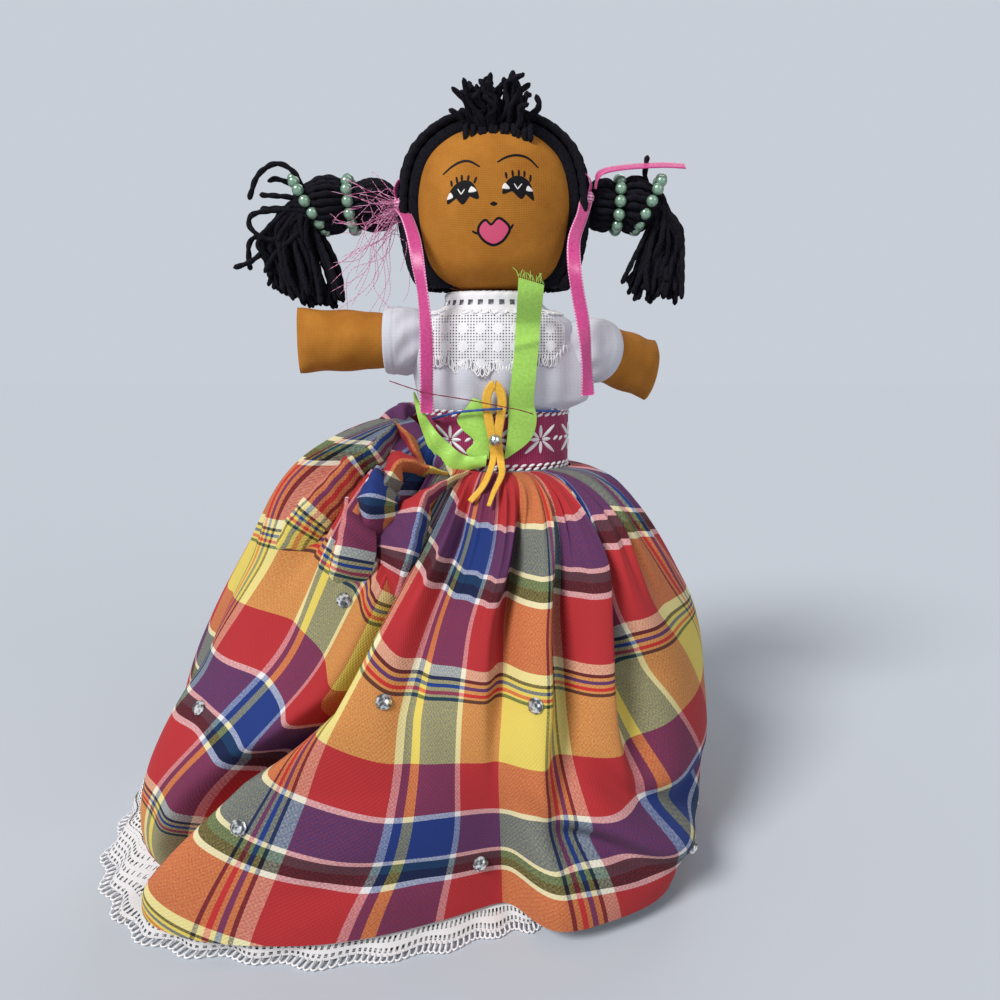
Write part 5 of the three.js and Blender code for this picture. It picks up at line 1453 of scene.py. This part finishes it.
# Pink ribbons: satin 5.7 mm wide with woven picot edges, tied round each pigtail's root in a single knot.
# One end hangs down the front to the waist on each side; the other is short, and the cut ends fray.
pink_satin = satin("pink satin ribbon", "ab2868", "d65093", 0.45, (2.4, "eeaccf"))
pink_satin.node_tree.nodes["Principled BSDF"].inputs["Roughness"].default_value = 0.33
PINK_WIDTH = 5.7
PINK_TAILS = {
    "left": (
        (-40.0, -6.5, 275), (-36.5, -14, 269.5), (-33.2, -21, 260), (-30.8, -27, 248),
        (-29.0, -29.5, 236), (-28.0, -30, 222), (-28.2, -29.5, 206), (-28.4, -28.5, 196),
        (-28.5, -28, 188.6),
    ),
    "right": (
        (39.8, -7.2, 278.6), (37.6, -13, 271), (34.0, -19, 261), (33.6, -24, 250), (35.0, -25, 240),
        (37.4, -25, 228), (39.0, -24.5, 216), (40.0, -23.5, 205), (40.6, -22.5, 195.8),
    ),
}
KNOTS = {"left": (-40.6, -5.5, 277.0), "right": (40.2, -6.5, 279.5)}
KNOT_LOOP = ((0, 0, 0), (1.5, -1.5, 5), (-0.5, -1, 9), (-2.0, -0.5, 5), (-0.4, 0.4, 0))
# The right knot's other end lies over the pigtail; the left one's has come apart into single threads, which
# reach this far from it across, back and up
FRAYED_THREADS = 64
FRAY_REACH = ((-34, 5), (-6, 5), (-47, 12))
SHORT_END = (
    (43.6, -6.5, 283), (44.6, -7, 287.5), (47.5, -5.5, 290.4), (54, -4, 292), (62.9, -3, 293),
    (74.3, -2, 293.6), (83, -1, 293.4),
)
for side, tail_path in PINK_TAILS.items():
    sign = -1 if side == "left" else 1
    tail_path = np.array(tail_path, float)
    for spot in tail_path[1:6]:
        near = (np.abs(cap_points[:, 0] - spot[0]) < 3) & (np.abs(cap_points[:, 2] - spot[2]) < 3)
        spot[1] = min(spot[1], cap_points[near, 1].min(initial=0.0) - 1.3)
    lean = 0.12 * sign + 0.5 * np.sin(np.linspace(0.4, 9.5, 12 * len(tail_path)))
    across = side_by_side(np.cos(lean), np.sin(lean), 0)
    points, faces, cloth, length, middle = ribbon(tail_path, PINK_WIDTH, across, 0.35, 7)
    along = cloth[:, 1] / length
    ripple = 0.5 * np.sin(along * 21 + 2 * sign) * np.sin(np.pi * along)
    points = points + side_by_side(0, ripple, 0)
    tail = piece(f"ribbon_tail_{side}_satin", points, faces, pink_satin, cloth * MM)
    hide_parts("ribbon_tail_" + side)
    top, low = (tuple(tail_path[k] * MM + axis) for k in (0, 5))
    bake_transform(tail)

    knot = np.array(KNOTS[side])
    spin = np.linspace(math.pi, 3 * math.pi, 16)
    ring = round_pigtail(sign * (41.2 + 0.8 * np.sin(spin)), 7.6, spin)
    loop = [knot + (sign * x, y, z) for x, y, z in KNOT_LOOP]
    tie_parts = [ribbon(ring, 4.2, (1, 0, 0), 0.5, 6)[:3], ribbon(loop, 4.0, (0.3, 1, 0), 0.4, 6)[:3]]
    lump, lump_faces = ball(knot, 3.1, 12, 18, 0.2)
    tie_parts.append((lump, lump_faces, lump.reshape(-1, 3)[:, [0, 2]]))
    if side == "right":
        tie_parts.append(ribbon(SHORT_END, 4.6, (0, 0.8, 0.6), 0.35, 6)[:3])
    else:
        frayed = []
        for n in range(FRAYED_THREADS):
            tip = knot + [fray_chance.uniform(*span) for span in FRAY_REACH]
            bows = [knot + (tip - knot) * share + fray_chance.normal(0, 3.6, 3) for share in (0.35, 0.7)]
            frayed.append(yarn([knot, *bows, tip], 0.13, 4, 2.0))
        loose_points, loose_faces = joined(frayed)
        tie_parts.append((loose_points, loose_faces, loose_points[:, [0, 2]]))
    tie_cloth = np.concatenate([cloth for _, _, cloth in tie_parts])
    tie_mesh = joined([(points, faces) for points, faces, _ in tie_parts])
    tie = piece(f"ribbon_tie_{side}_satin", *tie_mesh, pink_satin, tie_cloth * MM)
    dress(tie, "ribbon_tie_" + side, "pigtail_" + side)


# Pearl beads: strings of plastic beads 5.2 mm across with a green pearl coat, tied round each pigtail in
# two places. They sit in the waists of the yarn bundle; the outer string slants where the tassel pulls it.
BEAD_RADIUS = 2.6
# Green pearl coat: a soft metal sheen under a clear gloss, with painted shade that darkens its colour where
# it turns away from view
pearl, tree, shader = new_material(
    "green pearl coat", "7fa68c", 0.24, Metallic=0.35, Coat_Weight=0.6, Coat_Roughness=0.08,
)
painted_edge_shade = add(tree, "LayerWeight", Blend=0.35)
# Painted shade: the colour runs from light green where a bead faces the view to dark green at its edges
PEARL_PAINTED_SHADE_TINTS = ((0, "8fb39a"), (1, "3c5f49"))
add(tree, "ValToRGB", {0: painted_edge_shade.outputs["Facing"]}, shader.inputs["Base Color"], PEARL_PAINTED_SHADE_TINTS)
# Distance out, slant and radius of each string
STRINGS = {
    "left": ((63.5, 0.1, 10.8), (82.0, 0.62, 10.9)),
    "right": ((55.0, 0.05, 10.7), (68.6, 0.5, 10.9)),
}
for side, strings in STRINGS.items():
    sign = -1 if side == "left" else 1
    for n, (out_to, slant, size) in enumerate(strings):
        count = int(2 * math.pi * size * math.hypot(1, slant * 0.7) / (2 * BEAD_RADIUS))
        beads = []
        for t in np.linspace(0, 2 * math.pi, count, endpoint=False):
            rise = size * math.sin(t)
            centre = (
                sign * (out_to + slant * rise), PIGTAIL_PLACE[0] - size * math.cos(t),
                PIGTAIL_PLACE[1] + rise,
            )
            beads.append(ball(centre, BEAD_RADIUS))
        node = f"bead_string_{side}_{n + 1}"
        dress(piece(node + "_pearl", *joined(beads), pearl), node, "pigtail_" + side)


# Net underskirt: white cotton net worn under the plaid, the other half's own skirt, with crochet lace along
# its hem. It stands on the floor and bulges past the raised hem at the left.
NET_ROWS = 60
NET_COLUMNS = 720
# Reach of the hem on the floor by direction
NET_HEM = (
    (0, 92), (45, 95), (90, 104), (135, 126), (180, 162), (200, 173), (217, 169), (223, 161), (230, 149),
    (242, 133), (252, 121), (263, 108), (273, 101), (283, 97), (300, 100), (317, 96), (340, 92),
    (360, 92),
)
net_turns = np.linspace(0, 360, NET_COLUMNS, endpoint=False)
net_height = np.concatenate([np.linspace(SKIRT_TOP, 12, NET_ROWS - 18), np.linspace(11.4, 0.6, 18)])
net_lift = bump(net_turns, 203, 27)
sheet_share = np.clip(1 - net_height[:, None] / (SKIRT_TOP + BUNCH_RISE * net_lift), 0, 0.95)
over = np.array([np.interp(net_turns, turns[i], out[i], period=360) for i in range(PLAID_ROWS)])
share_of_row = np.array([np.interp(net_turns, turns[i], shares[i], period=360) for i in range(PLAID_ROWS)])
net_out = np.array(
    [np.interp(sheet_share[:, j], share_of_row[:, j], over[:, j]) for j in range(NET_COLUMNS)]
).T
deepest = np.min([np.roll(net_out, k, 1) for k in range(-14, 15)], 0)
net_out = net_out + (deepest - net_out) * ease(net_height[:, None], 12, 30)
net_out = soften(net_out, 4, 1) - 3.6
seam = 1 / np.hypot(np.cos(np.radians(net_turns)) / 34.6, np.sin(np.radians(net_turns)) / 25.1)
drop_share = 1 - net_height[:, None] / SKIRT_TOP
net_out = seam + (net_out - seam) * ease(drop_share, -0.02, 0.2)
hem_reach = np.interp(net_turns, *np.transpose(NET_HEM))
flare_height = 7.5 + 76 * bump(net_turns, 184, 17)
net_out = net_out + (hem_reach - net_out) * ease(-net_height[:, None], -flare_height, -1.0)
ripple = np.sin(np.radians(net_turns) * 46 + 2 * np.sin(np.radians(net_turns) * 5)) * 1.6
net_out = net_out + ripple * ease(-net_height[:, None], -flare_height, -1.0)
net_turn = np.radians(net_turns)


def ringed(out_to, rise):
    """Points of a skirt from distances off the axis by row and direction, and a height for each row."""
    return side_by_side(out_to * np.cos(net_turn), out_to * np.sin(net_turn), rise[:, None])


NET_GIRTH = 125.0
NET_LENGTH = 180.0
net_points = ringed(net_out, net_height)
net_cloth = side_by_side(net_turn * NET_GIRTH, NET_LENGTH * drop_share)
skirt_net = net_lace("white cotton net", "dbd9d8", (1.6, 1.6), (0.58, 0.58), -1.0, 400.0)
net = piece("underskirt_net", net_points, grid(NET_ROWS, NET_COLUMNS, True), skirt_net, net_cloth * MM)
dress(net, "lace_underskirt", "body")

LACE_TOP = 14.0
LACE_ROWS = 12
lace_height = np.linspace(LACE_TOP, 1.2, LACE_ROWS)
lace_out = np.array([np.interp(-lace_height, -net_height, net_out[:, j]) for j in range(NET_COLUMNS)]).T
lace_out = lace_out + 0.9 + 2.2 * ease(-lace_height, -6, 0)[:, None]
lace_points = ringed(lace_out, lace_height)
lace_cloth = side_by_side(net_turn * NET_GIRTH, LACE_TOP - lace_height[:, None])
hem_net = net_lace("white crochet lace", "d3d0d0", (1.8, 2.2), (0.5, 0.5), 1.0, 12.0)
hem_lace = piece("hem_lace_net", lace_points, grid(LACE_ROWS, NET_COLUMNS, True), hem_net, lace_cloth * MM)
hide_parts("hem_lace")
edge_loops = []
for j in range(0, NET_COLUMNS, 2):
    a, r = net_turn[j], lace_out[-1, j]
    reach = 2.2 + 2.0 * abs(math.sin(j * math.pi / 36))
    feet, bows, tip = (0.007, r - 0.6, 1.8), (0.01, r + reach * 0.6, 1.0), (0, r + reach, 0.7)
    spots = [
        (q * math.cos(a + way * t), q * math.sin(a + way * t), z)
        for way, (t, q, z) in ((-1, feet), (-1, bows), (1, tip), (1, bows), (1, feet))
    ]
    edge_loops.append(yarn(spots, 0.38, 5, 0.9))
fringe = piece("hem_lace_loops", *joined(edge_loops), white_thread)
# The hem lace and its loops ride the hem, each with a mesh of its own
for obj in (hem_lace, fringe):
    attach(obj, "hem")
    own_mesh(obj)


# Rhinestones: clear cut-glass stones 6 mm across with foiled backs, glued to the plaid here and there.
# Each has a flat table, a ring of crown facets and a silver rim.
STONE_FACETS = 8
# Direction and share of the way down the plaid
STONE_PLACES = (
    (213, 0.58), (231, 0.72), (227.5, 0.32), (247, 0.46), (279.5, 0.46), (267.5, 0.84), (314, 0.88),
)
# Radius, height and turn of each ring of corners
STONE_RINGS = ((3.0, 0.1, 0.0), (3.1, 0.7, 0.0), (2.5, 1.5, 0.39), (1.5, 2.3, 0.0), (0.02, 2.35, 0.0))
# Foiled cut glass: mirror bright facets, with painted reflections: flecks 1.7 mm wide of dark and white in
# its colour
glass, tree, shader = new_material("foiled cut glass", "c9cdcf", 0.04, Metallic=0.6)
place = add(tree, "TexCoord")
painted_reflection_flecks = add(tree, "TexNoise", {"Vector": place.outputs["Object"]}, Scale=0.6 / MM, Detail=1.0)
# Painted reflections: random flecks of dark grey and white stand for what the facets reflect
GLASS_PAINTED_REFLECTION_TINTS = ((0.4, "5f6466"), (0.62, "f4f6f6"))
add(tree, "ValToRGB", {0: painted_reflection_flecks}, shader.inputs["Base Color"], GLASS_PAINTED_REFLECTION_TINTS)
for n, (degrees, share) in enumerate(STONE_PLACES):
    near = np.abs(turns - degrees) * 2 + np.abs(shares - share) * 160
    i, j = np.unravel_index(np.argmin(near), near.shape)
    i, j = min(max(i, 2), PLAID_ROWS - 3), min(max(j, 2), PLAID_COLUMNS - 3)
    spot = plaid_points[i, j]
    across = unit(plaid_points[i, j + 2] - plaid_points[i, j - 2])
    down = plaid_points[i + 2, j] - plaid_points[i - 2, j]
    face = unit(np.cross(down, across))
    if face.dot(spot * (1, 1, 0)) < 0:
        face = -face
    other = np.cross(face, across)
    cut = []
    for radius, rise, phase in STONE_RINGS:
        for t in np.linspace(0, 2 * math.pi, STONE_FACETS, endpoint=False) + phase:
            cut.append(spot + across * radius * math.cos(t) + other * radius * math.sin(t) + face * rise)
    stone = piece(f"rhinestone_{n + 1}_glass", cut, grid(len(STONE_RINGS), STONE_FACETS, True), glass)
    stone.data.polygons.foreach_set("use_smooth", [False] * len(stone.data.polygons))
    dress(stone, f"rhinestone_{n + 1}", "body")


# Both skirts are cloth sewn at the waist seam, and the stones are glued to the plaid; the plaid, the net and
# the stones each get a mesh of their own.
for obj in [
    o for o in scene.objects if o.name.startswith(("plaid_skirt_cloth", "underskirt_net", "rhinestone_"))
]:
    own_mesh(obj)
